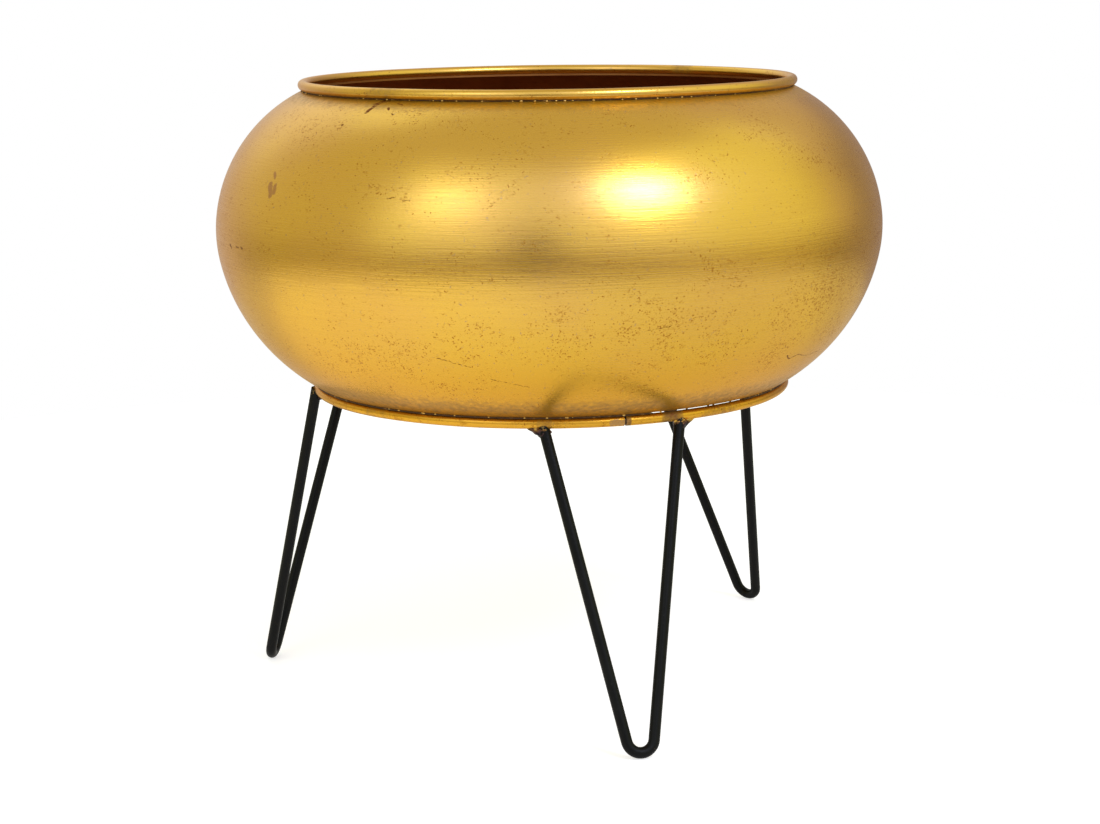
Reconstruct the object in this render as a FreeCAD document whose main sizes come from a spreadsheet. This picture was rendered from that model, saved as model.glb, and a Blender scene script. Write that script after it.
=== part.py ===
import FreeCAD, Part
import math
import os
import Sketcher

# A round planter on a three-legged hairpin stand. The bowl is two spun halves of thin sheet, welded at
# the belly. A hoop of round wire is brazed on its lip and a second one under its flat bottom, and three
# hairpins of black rod are welded to the lower hoop. Millimetres and degrees, +Z up, with the origin on
# the floor below the centre of the bowl. Azimuths run anticlockwise from +X, seen from above.

SIZES = (
    # the bowl's section, a chain of tangent arcs from the flat bottom up to the mouth
    ("bowl_radius", 152.5, "belly, over the sheet"),
    ("sheet_thickness", 0.9, "spun sheet"),
    ("belly_arc_radius", 60.0, "tight arc at the widest level"),
    ("lower_belly_turn", 12.0, "angle of the belly arc below the widest level"),
    ("lower_arc_radius", 88.0, "wall from the belly down to the bottom"),
    ("bottom_corner_radius", 2.5, "corner between the wall and the flat bottom"),
    ("upper_belly_turn", 8.0, "angle of the belly arc above the widest level"),
    ("upper_arc_radius", 71.0, "shoulder from the belly up to the mouth"),
    ("lip_cover", 0.25, "how far the mouth ring overhangs the cut lip"),
    ("seam_gap", 0.8, "gap between the halves, filled by the weld"),
    # the two wire rings
    ("ring_wire_diameter", 4.5, "wire of both rings"),
    ("mouth_ring_radius", 111.3, "to the centre of the wire"),
    ("foot_ring_radius", 108.0, "to the centre of the wire"),
    ("seat_margin", 0.5, "flat bottom beyond the foot ring's centre line"),
    ("stand_height", 138.95, "floor to the top of the foot ring"),
    ("ring_end_gap", 1.0, "gap between the ends of a ring's wire, filled by its butt weld"),
    ("ring_weld_proud", 0.3, "how far a butt weld stands above the wire"),
    ("ring_weld_clearance", 0.05, "between a butt weld and the wire's end"),
    ("mouth_weld_azimuth", 52.8, "butt weld of the mouth ring, at the back"),
    ("foot_weld_azimuth", -73.3, "butt weld of the foot ring, at the front"),
    # the brazing
    ("braze_gap", 0.55, "between the foot ring and the bottom"),
    ("mouth_fillet_turn", 35.0, "round the wire, from the sheet to where the mouth braze touches"),
    ("mouth_fillet_leg", 1.2, "leg of the mouth braze on the sheet, and on the wire"),
    ("foot_bead_width", 1.3, "braze between the foot ring and the bottom, across the wire"),
    ("open_start_azimuth", -66.7, "where the foot braze stops and daylight shows"),
    ("open_turn", 27.4, "angle of the stretch with no continuous braze"),
    ("braze_clearance", 0.08, "between the braze and the wire that it wets"),
    ("tack_radius", 0.5, "drop of braze that bridges the open stretch"),
    ("long_tack_turn", 2.3, "angle of the long tack in the open stretch"),
    ("long_tack_radius", 0.7, "that tack's section"),
    # the hairpins, alike but bent and set by hand
    ("leg_rod_diameter", 4.9, "rod"),
    ("leg_bend_radius", 6.1, "foot bend, to the centre of the rod"),
    ("front_azimuth", -75.6, "middle of the front leg's top"),
    ("front_spread_angle", 16.3, "from there to each of its rods"),
    ("front_reach", 148.2, "axis of the bowl to the foot"),
    ("front_twist_angle", -0.3, "foot's azimuth less the top's"),
    ("front_top_offset", 0.0, "rod top outside the ring's centre line"),
    ("front_top_rise", 0.9, "rod top above the ring's underside"),
    ("right_azimuth", 46.9, "middle of the right leg's top"),
    ("right_spread_angle", 17.1, "from there to each of its rods"),
    ("right_reach", 152.9, "axis of the bowl to the foot"),
    ("right_twist_angle", 1.4, "foot's azimuth less the top's"),
    ("right_top_offset", 0.0, "rod top outside the ring's centre line"),
    ("right_top_rise", 0.9, "rod top above the ring's underside"),
    ("left_azimuth", 171.5, "middle of the left leg's top"),
    ("left_spread_angle", 17.2, "from there to each of its rods"),
    ("left_reach", 136.7, "axis of the bowl to the foot"),
    ("left_twist_angle", 2.3, "foot's azimuth less the top's"),
    ("left_top_offset", 1.2, "lapped on the outside of the ring"),
    ("left_top_rise", 2.6, "rod top above the ring's underside"),
    # the leg welds
    ("weld_bead_width", 4.0, "half width of a bead along the ring"),
    ("weld_bead_depth", 3.4, "half depth of a bead across the ring, and half height"),
    ("weld_bead_drop", 0.8, "bead centre below the ring's underside"),
    ("weld_bead_shift", 1.3, "bead centre to the side that was welded"),
    ("web_reach", 9.5, "web of the front welds, along the ring"),
    ("web_drop", 9.0, "web of the front welds, down the rod"),
    ("web_hollow_radius", 12.0, "concave edge of the web"),
    ("web_thickness", 3.2, "web across the ring"),
)

LEGS = ("front", "right", "left")
WEBBED_LEGS = ("front",)
TACK_SHARES = (0.34, 0.57, 0.63, 0.84)
LONG_TACK_SHARE = 0.15

# Places that follow from the sizes, as formulas.
PLACES = (
    ("ring_wire_radius", "Sizes.ring_wire_diameter / 2"),
    ("leg_rod_radius", "Sizes.leg_rod_diameter / 2"),
    ("foot_ring_height", "Sizes.stand_height - Places.ring_wire_radius"),
    ("ring_underside", "Sizes.stand_height - Sizes.ring_wire_diameter"),
    ("bottom_height", "Sizes.stand_height + Sizes.braze_gap"),
    ("bottom_flat_radius", "Sizes.foot_ring_radius + Sizes.seat_margin"),
    ("belly_centre_radius", "Sizes.bowl_radius - Sizes.belly_arc_radius"),
    (
        "lower_centre_radius",
        "Places.belly_centre_radius"
        " + (Sizes.belly_arc_radius - Sizes.lower_arc_radius) * cos(Sizes.lower_belly_turn)",
    ),
    (
        "lower_centre_height",
        "Places.bottom_height + Sizes.bottom_corner_radius"
        " + sqrt((Sizes.lower_arc_radius - Sizes.bottom_corner_radius) ^ 2"
        " - (Places.bottom_flat_radius - Places.lower_centre_radius) ^ 2)",
    ),
    (
        "belly_height",
        "Places.lower_centre_height"
        " + (Sizes.belly_arc_radius - Sizes.lower_arc_radius) * sin(Sizes.lower_belly_turn)",
    ),
    (
        "upper_centre_radius",
        "Places.belly_centre_radius"
        " + (Sizes.belly_arc_radius - Sizes.upper_arc_radius) * cos(Sizes.upper_belly_turn)",
    ),
    (
        "upper_centre_height",
        "Places.belly_height"
        " + (Sizes.belly_arc_radius - Sizes.upper_arc_radius) * sin(Sizes.upper_belly_turn)",
    ),
    ("ring_seat_radius", "Sizes.upper_arc_radius + Places.ring_wire_radius"),
    (
        "ring_seat_turn",
        "acos((Sizes.mouth_ring_radius - Places.upper_centre_radius) / Places.ring_seat_radius)",
    ),
    (
        "mouth_ring_height",
        "Places.upper_centre_height + Places.ring_seat_radius * sin(Places.ring_seat_turn)",
    ),
    ("lip_radius", "Sizes.mouth_ring_radius - Places.ring_wire_radius + Sizes.lip_cover"),
    ("foot_bead_height", "Sizes.stand_height + Sizes.braze_gap / 2"),
    ("ring_weld_radius", "Places.ring_wire_radius + Sizes.ring_weld_proud"),
    ("braze_room_radius", "Places.ring_wire_radius + Sizes.braze_clearance"),
    (
        "mouth_fillet_start",
        "Places.braze_room_radius * sin(Sizes.mouth_fillet_turn) - (Places.ring_wire_radius"
        " - Places.braze_room_radius * cos(Sizes.mouth_fillet_turn)) / tan(Sizes.mouth_fillet_turn)",
    ),
    (
        "mouth_weld_ring_radius",
        "Sizes.mouth_ring_radius + Sizes.ring_weld_proud * cos(Places.ring_seat_turn)",
    ),
    (
        "mouth_weld_height",
        "Places.mouth_ring_height + Sizes.ring_weld_proud * sin(Places.ring_seat_turn)",
    ),
    ("ring_weld_length", "Sizes.ring_end_gap - 2 * Sizes.ring_weld_clearance"),
    ("mouth_end_turn", "Sizes.ring_end_gap / Sizes.mouth_ring_radius * 180 / pi"),
    ("mouth_weld_turn", "Places.ring_weld_length / Sizes.mouth_ring_radius * 180 / pi"),
    ("foot_end_turn", "Sizes.ring_end_gap / Sizes.foot_ring_radius * 180 / pi"),
    ("foot_weld_turn", "Places.ring_weld_length / Sizes.foot_ring_radius * 180 / pi"),
    ("closed_turn", "360 - Sizes.open_turn"),
)

# a sketch counts the points of a line or an arc up from 0, and its own root and axes down from -1
POINT_NAMES = ("whole", "start", "end", "centre")
FIXED_NAMES = ("root", "upright axis")
ORIGIN = ("root", "start")

doc = FreeCAD.newDocument("planter")
sizes = doc.addObject("Spreadsheet::Sheet", "Sizes")
places = doc.addObject("Spreadsheet::Sheet", "Places")
sub_parts = []


def fill_sheets():
    for row, (alias, value, note) in enumerate(SIZES, start=1):
        sizes.set(f"A{row}", str(value))
        sizes.setAlias(f"A{row}", alias)
        sizes.set(f"B{row}", note)
    for row, (alias, formula) in enumerate(PLACES, start=1):
        places.set(f"A{row}", "=" + formula.replace("Places.", ""))
        places.setAlias(f"A{row}", alias)
    doc.recompute()


def size(alias):
    return float(sizes.get(alias))


def place(alias):
    value = places.get(alias)
    return float(getattr(value, "Value", value))


def evaluate(owner, formula):
    value = owner.evalExpression(formula)
    return float(getattr(value, "Value", value))


def keep(label, shape_object):
    shape_object.Label = label
    sub_parts.append(shape_object)
    return shape_object


def origin_plane(body, role):
    return next(feature for feature in body.Origin.OriginFeatures if feature.Role == role)


def new_sketch(body, name, role="XZ_Plane"):
    sketch = body.newObject("Sketcher::SketchObject", name)
    sketch.AttachmentSupport = (origin_plane(body, role), [""])
    sketch.MapMode = "FlatFace"
    return sketch


def add_arc(sketch, centre, radius, first, last):
    circle = Part.Circle(FreeCAD.Vector(*centre, 0), FreeCAD.Vector(0, 0, 1), radius)
    return sketch.addGeometry(Part.ArcOfCircle(circle, first, last))


def add_line(sketch, first, last):
    return sketch.addGeometry(Part.LineSegment(FreeCAD.Vector(*first, 0), FreeCAD.Vector(*last, 0)))


def numbered(references):
    numbers = []
    for reference in references:
        if reference in POINT_NAMES:
            numbers.append(POINT_NAMES.index(reference))
        elif reference in FIXED_NAMES:
            numbers.append(-1 - FIXED_NAMES.index(reference))
        else:
            numbers.append(reference)
    return numbers


def relate(sketch, kind, *references):
    sketch.addConstraint(Sketcher.Constraint(kind, *numbered(references)))


def drive(sketch, kind, references, formula):
    value = evaluate(sketch, formula)
    index = sketch.addConstraint(Sketcher.Constraint(kind, *numbered(references), value))
    sketch.setExpression(f"Constraints[{index}]", formula)


def polar(centre, radius, angle):
    return (centre[0] + radius * math.cos(angle), centre[1] + radius * math.sin(angle))


def add_outline(sketch, corners):
    # straight lines round the corners, each corner a pair of formulas for its radius and height
    points = [tuple(evaluate(sketch, formula) for formula in corner) for corner in corners]
    lines = [add_line(sketch, points[index - 1], point) for index, point in enumerate(points)]
    for index, line in enumerate(lines):
        relate(sketch, "Coincident", lines[index - 1], "end", line, "start")
        drive(sketch, "DistanceX", (*ORIGIN, line, "end"), corners[index][0])
        drive(sketch, "DistanceY", (*ORIGIN, line, "end"), corners[index][1])


def revolve(body, sketch, turn="360"):
    turned = body.newObject("PartDesign::Revolution", f"{body.Name}_turned")
    turned.Profile = sketch
    turned.ReferenceAxis = (sketch, ["V_Axis"])
    turned.setExpression("Angle", turn)
    body.Tip = turned


def make_lower_shell():
    # the flat bottom and the wall up to the belly, one even sheet between concentric arcs
    body = doc.addObject("PartDesign::Body", "bowl_lower_shell")
    sketch = new_sketch(body, "lower_section")
    sheet = size("sheet_thickness")
    belly = (place("belly_centre_radius"), place("belly_height"))
    wall = (place("lower_centre_radius"), place("lower_centre_height"))
    corner = (place("bottom_flat_radius"), place("bottom_height") + size("bottom_corner_radius"))
    radii = (size("belly_arc_radius"), size("lower_arc_radius"), size("bottom_corner_radius"))
    half_gap = size("seam_gap") / 2
    turn = math.radians(-size("lower_belly_turn"))
    corner_turn = math.atan2(corner[1] - wall[1], corner[0] - wall[0])
    down = math.radians(-90)
    outer_top = -math.asin(half_gap / radii[0])
    inner_top = -math.asin(half_gap / (radii[0] - sheet))
    bottom = place("bottom_height")

    outer_belly = add_arc(sketch, belly, radii[0], turn, outer_top)
    outer_wall = add_arc(sketch, wall, radii[1], corner_turn, turn)
    outer_corner = add_arc(sketch, corner, radii[2], down, corner_turn)
    underside = add_line(sketch, (corner[0], bottom), (0, bottom))
    middle = add_line(sketch, (0, bottom), (0, bottom + sheet))
    floor = add_line(sketch, (0, bottom + sheet), (corner[0], bottom + sheet))
    inner_corner = add_arc(sketch, corner, radii[2] - sheet, down, corner_turn)
    inner_wall = add_arc(sketch, wall, radii[1] - sheet, corner_turn, turn)
    inner_belly = add_arc(sketch, belly, radii[0] - sheet, turn, inner_top)
    edge = add_line(
        sketch, polar(belly, radii[0] - sheet, inner_top), polar(belly, radii[0], outer_top)
    )
    relate(sketch, "Tangent", outer_belly, "start", outer_wall, "end")
    relate(sketch, "Tangent", outer_wall, "start", outer_corner, "end")
    relate(sketch, "Tangent", outer_corner, "start", underside, "start")
    relate(sketch, "Coincident", underside, "end", middle, "start")
    relate(sketch, "Coincident", middle, "end", floor, "start")
    relate(sketch, "Tangent", floor, "end", inner_corner, "start")
    relate(sketch, "Tangent", inner_corner, "end", inner_wall, "start")
    relate(sketch, "Tangent", inner_wall, "end", inner_belly, "start")
    relate(sketch, "Coincident", inner_belly, "end", edge, "start")
    relate(sketch, "Coincident", edge, "end", outer_belly, "end")
    relate(sketch, "Coincident", inner_corner, "centre", outer_corner, "centre")
    relate(sketch, "Coincident", inner_wall, "centre", outer_wall, "centre")
    relate(sketch, "Coincident", inner_belly, "centre", outer_belly, "centre")
    relate(sketch, "Horizontal", underside)
    relate(sketch, "Horizontal", floor)
    relate(sketch, "Horizontal", edge)
    relate(sketch, "Vertical", middle)
    relate(sketch, "PointOnObject", middle, "start", "upright axis")
    drive(sketch, "Radius", (outer_belly,), "Sizes.belly_arc_radius")
    drive(sketch, "Radius", (outer_wall,), "Sizes.lower_arc_radius")
    drive(sketch, "Radius", (outer_corner,), "Sizes.bottom_corner_radius")
    drive(sketch, "DistanceX", (*ORIGIN, outer_belly, "centre"), "Places.belly_centre_radius")
    drive(
        sketch,
        "DistanceY",
        (outer_belly, "start", outer_belly, "centre"),
        "Sizes.belly_arc_radius * sin(Sizes.lower_belly_turn)",
    )
    drive(sketch, "DistanceY", (outer_belly, "end", outer_belly, "centre"), "Sizes.seam_gap / 2")
    drive(sketch, "DistanceX", (*ORIGIN, outer_corner, "centre"), "Places.bottom_flat_radius")
    drive(sketch, "DistanceY", (*ORIGIN, underside, "start"), "Places.bottom_height")
    drive(sketch, "DistanceY", (middle, "start", middle, "end"), "Sizes.sheet_thickness")
    revolve(body, sketch)
    return keep("bowl_lower_shell", body)


def make_upper_shell():
    # the same spinning with its crown cut out for the mouth
    body = doc.addObject("PartDesign::Body", "bowl_upper_shell")
    sketch = new_sketch(body, "upper_section")
    sheet = size("sheet_thickness")
    belly = (place("belly_centre_radius"), place("belly_height"))
    shoulder = (place("upper_centre_radius"), place("upper_centre_height"))
    radii = (size("belly_arc_radius"), size("upper_arc_radius"))
    half_gap = size("seam_gap") / 2
    turn = math.radians(size("upper_belly_turn"))
    lip_run = place("lip_radius") - shoulder[0]
    outer_lip = math.acos(lip_run / radii[1])
    inner_lip = math.acos(lip_run / (radii[1] - sheet))
    outer_low = math.asin(half_gap / radii[0])
    inner_low = math.asin(half_gap / (radii[0] - sheet))

    outer_belly = add_arc(sketch, belly, radii[0], outer_low, turn)
    outer_shoulder = add_arc(sketch, shoulder, radii[1], turn, outer_lip)
    lip = add_line(
        sketch, polar(shoulder, radii[1], outer_lip), polar(shoulder, radii[1] - sheet, inner_lip)
    )
    inner_shoulder = add_arc(sketch, shoulder, radii[1] - sheet, turn, inner_lip)
    inner_belly = add_arc(sketch, belly, radii[0] - sheet, inner_low, turn)
    edge = add_line(
        sketch, polar(belly, radii[0] - sheet, inner_low), polar(belly, radii[0], outer_low)
    )
    relate(sketch, "Tangent", outer_belly, "end", outer_shoulder, "start")
    relate(sketch, "Coincident", outer_shoulder, "end", lip, "start")
    relate(sketch, "Coincident", lip, "end", inner_shoulder, "end")
    relate(sketch, "Tangent", inner_shoulder, "start", inner_belly, "end")
    relate(sketch, "Coincident", inner_belly, "start", edge, "start")
    relate(sketch, "Coincident", edge, "end", outer_belly, "start")
    relate(sketch, "Coincident", inner_shoulder, "centre", outer_shoulder, "centre")
    relate(sketch, "Coincident", inner_belly, "centre", outer_belly, "centre")
    relate(sketch, "Vertical", lip)
    relate(sketch, "Horizontal", edge)
    drive(sketch, "Radius", (outer_belly,), "Sizes.belly_arc_radius")
    drive(sketch, "Radius", (inner_belly,), "Sizes.belly_arc_radius - Sizes.sheet_thickness")
    drive(sketch, "Radius", (outer_shoulder,), "Sizes.upper_arc_radius")
    drive(sketch, "DistanceX", (*ORIGIN, outer_belly, "centre"), "Places.belly_centre_radius")
    drive(sketch, "DistanceY", (*ORIGIN, outer_belly, "centre"), "Places.belly_height")
    drive(
        sketch,
        "DistanceY",
        (outer_belly, "centre", outer_belly, "end"),
        "Sizes.belly_arc_radius * sin(Sizes.upper_belly_turn)",
    )
    drive(sketch, "DistanceY", (outer_belly, "centre", outer_belly, "start"), "Sizes.seam_gap / 2")
    drive(sketch, "DistanceX", (*ORIGIN, lip, "start"), "Places.lip_radius")
    revolve(body, sketch)
    return keep("bowl_upper_shell", body)


def make_seam_weld():
    # fills the gap at the belly and is ground flush with the sheet
    body = doc.addObject("PartDesign::Body", "bowl_seam_weld")
    sketch = new_sketch(body, "seam_section")
    outside = size("bowl_radius")
    inside = outside - size("sheet_thickness")
    half_gap = size("seam_gap") / 2
    low = place("belly_height") - half_gap
    high = place("belly_height") + half_gap
    face = add_line(sketch, (outside, low), (outside, high))
    top = add_line(sketch, (outside, high), (inside, high))
    root = add_line(sketch, (inside, high), (inside, low))
    bottom = add_line(sketch, (inside, low), (outside, low))
    relate(sketch, "Coincident", face, "end", top, "start")
    relate(sketch, "Coincident", top, "end", root, "start")
    relate(sketch, "Coincident", root, "end", bottom, "start")
    relate(sketch, "Coincident", bottom, "end", face, "start")
    relate(sketch, "Vertical", face)
    relate(sketch, "Vertical", root)
    relate(sketch, "Horizontal", top)
    relate(sketch, "Horizontal", bottom)
    drive(sketch, "DistanceX", (*ORIGIN, face, "start"), "Sizes.bowl_radius")
    drive(sketch, "DistanceX", (top, "end", top, "start"), "Sizes.sheet_thickness")
    drive(sketch, "DistanceY", (face, "start", face, "end"), "Sizes.seam_gap")
    drive(sketch, "DistanceY", (*ORIGIN, face, "start"), "Places.belly_height - Sizes.seam_gap / 2")
    revolve(body, sketch)
    return keep("bowl_seam_weld", body)


def place_by(item, base=None, angle=None):
    # binds the place of a primitive, and its turn about the upright axis, to formulas
    item.Placement = FreeCAD.Placement(FreeCAD.Vector(), FreeCAD.Rotation(FreeCAD.Vector(0, 0, 1), 0))
    for axis, formula in (base or {}).items():
        item.setExpression(f"Placement.Base.{axis}", formula)
    if angle:
        item.setExpression("Placement.Rotation.Angle", angle)


def make_torus(name, radius, thickness, turn, height, azimuth):
    torus = doc.addObject("Part::Torus", name)
    torus.setExpression("Radius1", radius)
    torus.setExpression("Radius2", thickness)
    torus.setExpression("Angle3", turn)
    place_by(torus, {"z": height}, azimuth)
    return torus


def make_cut(name, base, tools):
    # the base with each tool taken out of it in turn
    for number, tool in enumerate(tools, start=1):
        last = number == len(tools)
        cut = doc.addObject("Part::Cut", name if last else f"{name}_less_{tool.Name}")
        cut.Base = base
        cut.Tool = tool
        base = cut
    return base


def make_fusion(name, pieces):
    fusion = doc.addObject("Part::MultiFuse", name)
    fusion.Shapes = pieces
    return fusion


def make_ring(label, radius, end_turn, height, weld_azimuth):
    # wire bent round until its ends nearly meet
    ring = make_torus(
        label,
        radius,
        "Places.ring_wire_radius",
        f"360 - {end_turn}",
        height,
        f"{weld_azimuth} + {end_turn} / 2",
    )
    return keep(label, ring)


def make_ring_weld(label, radius, height, weld_turn, azimuth):
    # a collar of weld metal between the two ends of a ring's wire
    collar = make_torus(
        label,
        radius,
        "Places.ring_weld_radius",
        weld_turn,
        height,
        f"{azimuth} - {weld_turn} / 2",
    )
    return keep(label, collar)


def on_shoulder(along, off):
    # radius and height of a point near the mouth ring's seat: along the sheet, outward, and off it
    reach = f"(Sizes.upper_arc_radius + {off})"
    return (
        f"Places.upper_centre_radius + {reach} * cos(Places.ring_seat_turn)"
        f" + {along} * sin(Places.ring_seat_turn)",
        f"Places.upper_centre_height + {reach} * sin(Places.ring_seat_turn)"
        f" - {along} * cos(Places.ring_seat_turn)",
    )


def make_mouth_braze(ring_weld):
    # a fillet all round, in the crevice between the mouth ring and the shoulder
    body = doc.addObject("PartDesign::Body", "mouth_fillet")
    sketch = new_sketch(body, "mouth_fillet_section")
    leg_along = "Sizes.mouth_fillet_leg * cos(Sizes.mouth_fillet_turn)"
    leg_off = "Sizes.mouth_fillet_leg * sin(Sizes.mouth_fillet_turn)"
    corners = (
        on_shoulder("Places.mouth_fillet_start", "0"),
        on_shoulder("(Places.mouth_fillet_start + Sizes.mouth_fillet_leg)", "0"),
        on_shoulder(f"(Places.mouth_fillet_start + {leg_along})", leg_off),
    )
    add_outline(sketch, corners)
    revolve(body, sketch)
    return keep("mouth_ring_braze", make_cut("mouth_ring_braze", body, (ring_weld,)))


def make_foot_braze(ring_weld):
    # runs between the foot ring and the bottom, all round but for one open stretch
    body = doc.addObject("PartDesign::Body", "foot_bead")
    sketch = new_sketch(body, "foot_bead_section")
    inside = "Sizes.foot_ring_radius - Sizes.foot_bead_width / 2"
    outside = "Sizes.foot_ring_radius + Sizes.foot_bead_width / 2"
    low = "Sizes.stand_height + Sizes.braze_clearance"
    high = "Places.bottom_height"
    add_outline(sketch, ((inside, low), (outside, low), (outside, high), (inside, high)))
    revolve(body, sketch, "Places.closed_turn")
    place_by(body, None, "Sizes.open_start_azimuth + Sizes.open_turn")
    return keep("foot_ring_braze", make_cut("foot_ring_braze", body, (ring_weld,)))


def make_tacks(lower_shell):
    # drops of braze that bridge the open stretch, clear of the wire below them
    room = make_torus(
        "tack_room",
        "Sizes.foot_ring_radius",
        "Places.braze_room_radius",
        "360",
        "Places.foot_ring_height",
        None,
    )
    pieces = []
    for number, share in enumerate(TACK_SHARES, start=1):
        azimuth = f"(Sizes.open_start_azimuth + {share} * Sizes.open_turn)"
        drop = doc.addObject("Part::Sphere", f"tack_{number}")
        drop.setExpression("Radius", "Sizes.tack_radius")
        base = {
            "x": f"Sizes.foot_ring_radius * cos({azimuth})",
            "y": f"Sizes.foot_ring_radius * sin({azimuth})",
            "z": "Places.foot_bead_height",
        }
        place_by(drop, base)
        pieces.append(drop)
    long_tack = make_torus(
        "long_tack",
        "Sizes.foot_ring_radius",
        "Sizes.long_tack_radius",
        "Sizes.long_tack_turn",
        "Places.foot_bead_height",
        f"Sizes.open_start_azimuth + {LONG_TACK_SHARE} * Sizes.open_turn",
    )
    pieces.append(long_tack)
    tacks = make_fusion("tack_drops", pieces)
    return keep("foot_ring_tacks", make_cut("foot_ring_tacks", tacks, (room, lower_shell)))


def leg_points(leg):
    # the two rod tops and the lowest point of the foot, on the rod's centre line
    azimuth = math.radians(size(f"{leg}_azimuth"))
    spread = math.radians(size(f"{leg}_spread_angle"))
    foot_azimuth = azimuth + math.radians(size(f"{leg}_twist_angle"))
    top_radius = size("foot_ring_radius") + size(f"{leg}_top_offset")
    top_height = place("ring_underside") + size(f"{leg}_top_rise")
    tops = [
        FreeCAD.Vector(top_radius * math.cos(angle), top_radius * math.sin(angle), top_height)
        for angle in (azimuth - spread, azimuth + spread)
    ]
    reach = size(f"{leg}_reach")
    foot = FreeCAD.Vector(
        reach * math.cos(foot_azimuth), reach * math.sin(foot_azimuth), place("leg_rod_radius")
    )
    return tops, foot


def leg_placement(leg):
    # the hairpin's own plane: x along the line through its tops, z from the foot up to that line
    tops, foot = leg_points(leg)
    across = (tops[1] - tops[0]).normalize()
    rise = tops[0] - foot
    upward = (rise - across * rise.dot(across)).normalize()
    through = upward.cross(across)
    return FreeCAD.Placement(foot, FreeCAD.Rotation(across, through, upward, "ZXY"))


def make_leg(leg, ring):
    # one rod bent into a hairpin; its tops are coped where they meet the foot ring
    body = doc.addObject("PartDesign::Body", f"{leg}_hairpin")
    path = new_sketch(body, f"{leg}_path")
    top_radius = f"(Sizes.foot_ring_radius + Sizes.{leg}_top_offset)"
    half = f"{top_radius} * sin(Sizes.{leg}_spread_angle)"
    shift = f"Sizes.{leg}_reach * sin(Sizes.{leg}_twist_angle)"
    foot_run = f"Sizes.{leg}_reach * cos(Sizes.{leg}_twist_angle)"
    lean = f"({foot_run} - {top_radius} * cos(Sizes.{leg}_spread_angle))"
    climb = f"(Places.ring_underside + Sizes.{leg}_top_rise - Places.leg_rod_radius)"
    rise_formula = f"sqrt({lean} ^ 2 + {climb} ^ 2)"
    bend = size("leg_bend_radius")
    rise = evaluate(path, rise_formula)
    tops = (
        (-evaluate(path, f"{half} + {shift}"), rise),
        (evaluate(path, f"{half} - {shift}"), rise),
    )
    centre = (0, bend)
    tangents = []
    for side, top in zip((-1, 1), tops):
        run = side * top[0]
        climb_left = rise - bend
        angle = math.atan2(climb_left, run) - math.acos(bend / math.hypot(run, climb_left))
        tangents.append(angle)
    left_angle = math.pi - tangents[0]
    right_angle = tangents[1]
    left_rod = add_line(path, tops[0], polar(centre, bend, left_angle))
    foot_bend = add_arc(path, centre, bend, left_angle, right_angle + 2 * math.pi)
    right_rod = add_line(path, polar(centre, bend, right_angle), tops[1])
    relate(path, "Tangent", left_rod, "end", foot_bend, "start")
    relate(path, "Tangent", foot_bend, "end", right_rod, "start")
    relate(path, "PointOnObject", foot_bend, "centre", "upright axis")
    drive(path, "Radius", (foot_bend,), "Sizes.leg_bend_radius")
    drive(path, "DistanceY", (*ORIGIN, foot_bend, "centre"), "Sizes.leg_bend_radius")
    drive(path, "DistanceX", (left_rod, "start", *ORIGIN), f"{half} + {shift}")
    drive(path, "DistanceX", (*ORIGIN, right_rod, "end"), f"{half} - {shift}")
    drive(path, "DistanceY", (*ORIGIN, left_rod, "start"), rise_formula)
    drive(path, "DistanceY", (*ORIGIN, right_rod, "end"), rise_formula)
    doc.recompute()
    rod = body.newObject("Sketcher::SketchObject", f"{leg}_rod_section")
    rod.AttachmentSupport = (path, ["Edge1"])
    rod.MapMode = "NormalToEdge"
    rod.MapPathParameter = 0
    circle = Part.Circle(FreeCAD.Vector(), FreeCAD.Vector(0, 0, 1), place("leg_rod_radius"))
    section = rod.addGeometry(circle)
    relate(rod, "Coincident", section, "centre", *ORIGIN)
    drive(rod, "Radius", (section,), "Places.leg_rod_radius")
    bent = body.newObject("PartDesign::AdditivePipe", f"{leg}_bent_rod")
    bent.Profile = rod
    bent.Spine = (path, ["Edge1", "Edge2", "Edge3"])
    body.Tip = bent
    body.Placement = leg_placement(leg)
    label = f"{leg}_leg"
    return keep(label, make_cut(label, body, (ring,)))


def make_bead(leg, number, azimuth, side):
    # a lump of weld at one rod top, on the side that was welded
    bead = doc.addObject("Part::Ellipsoid", f"{leg}_bead_{number}")
    bead.setExpression("Radius1", "Sizes.weld_bead_depth")
    bead.setExpression("Radius2", "Sizes.weld_bead_depth")
    bead.setExpression("Radius3", "Sizes.weld_bead_width")
    radius = f"(Sizes.foot_ring_radius + Sizes.{leg}_top_offset)"
    height = "Places.ring_underside - Sizes.weld_bead_drop"
    if leg in WEBBED_LEGS:
        x = f"{radius} * cos({azimuth}) - {side} * Sizes.weld_bead_shift * sin({azimuth})"
        y = f"{radius} * sin({azimuth}) + {side} * Sizes.weld_bead_shift * cos({azimuth})"
    else:
        x = f"({radius} - Sizes.weld_bead_shift) * cos({azimuth})"
        y = f"({radius} - Sizes.weld_bead_shift) * sin({azimuth})"
    place_by(bead, {"x": x, "y": y, "z": height}, azimuth)
    return bead


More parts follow.
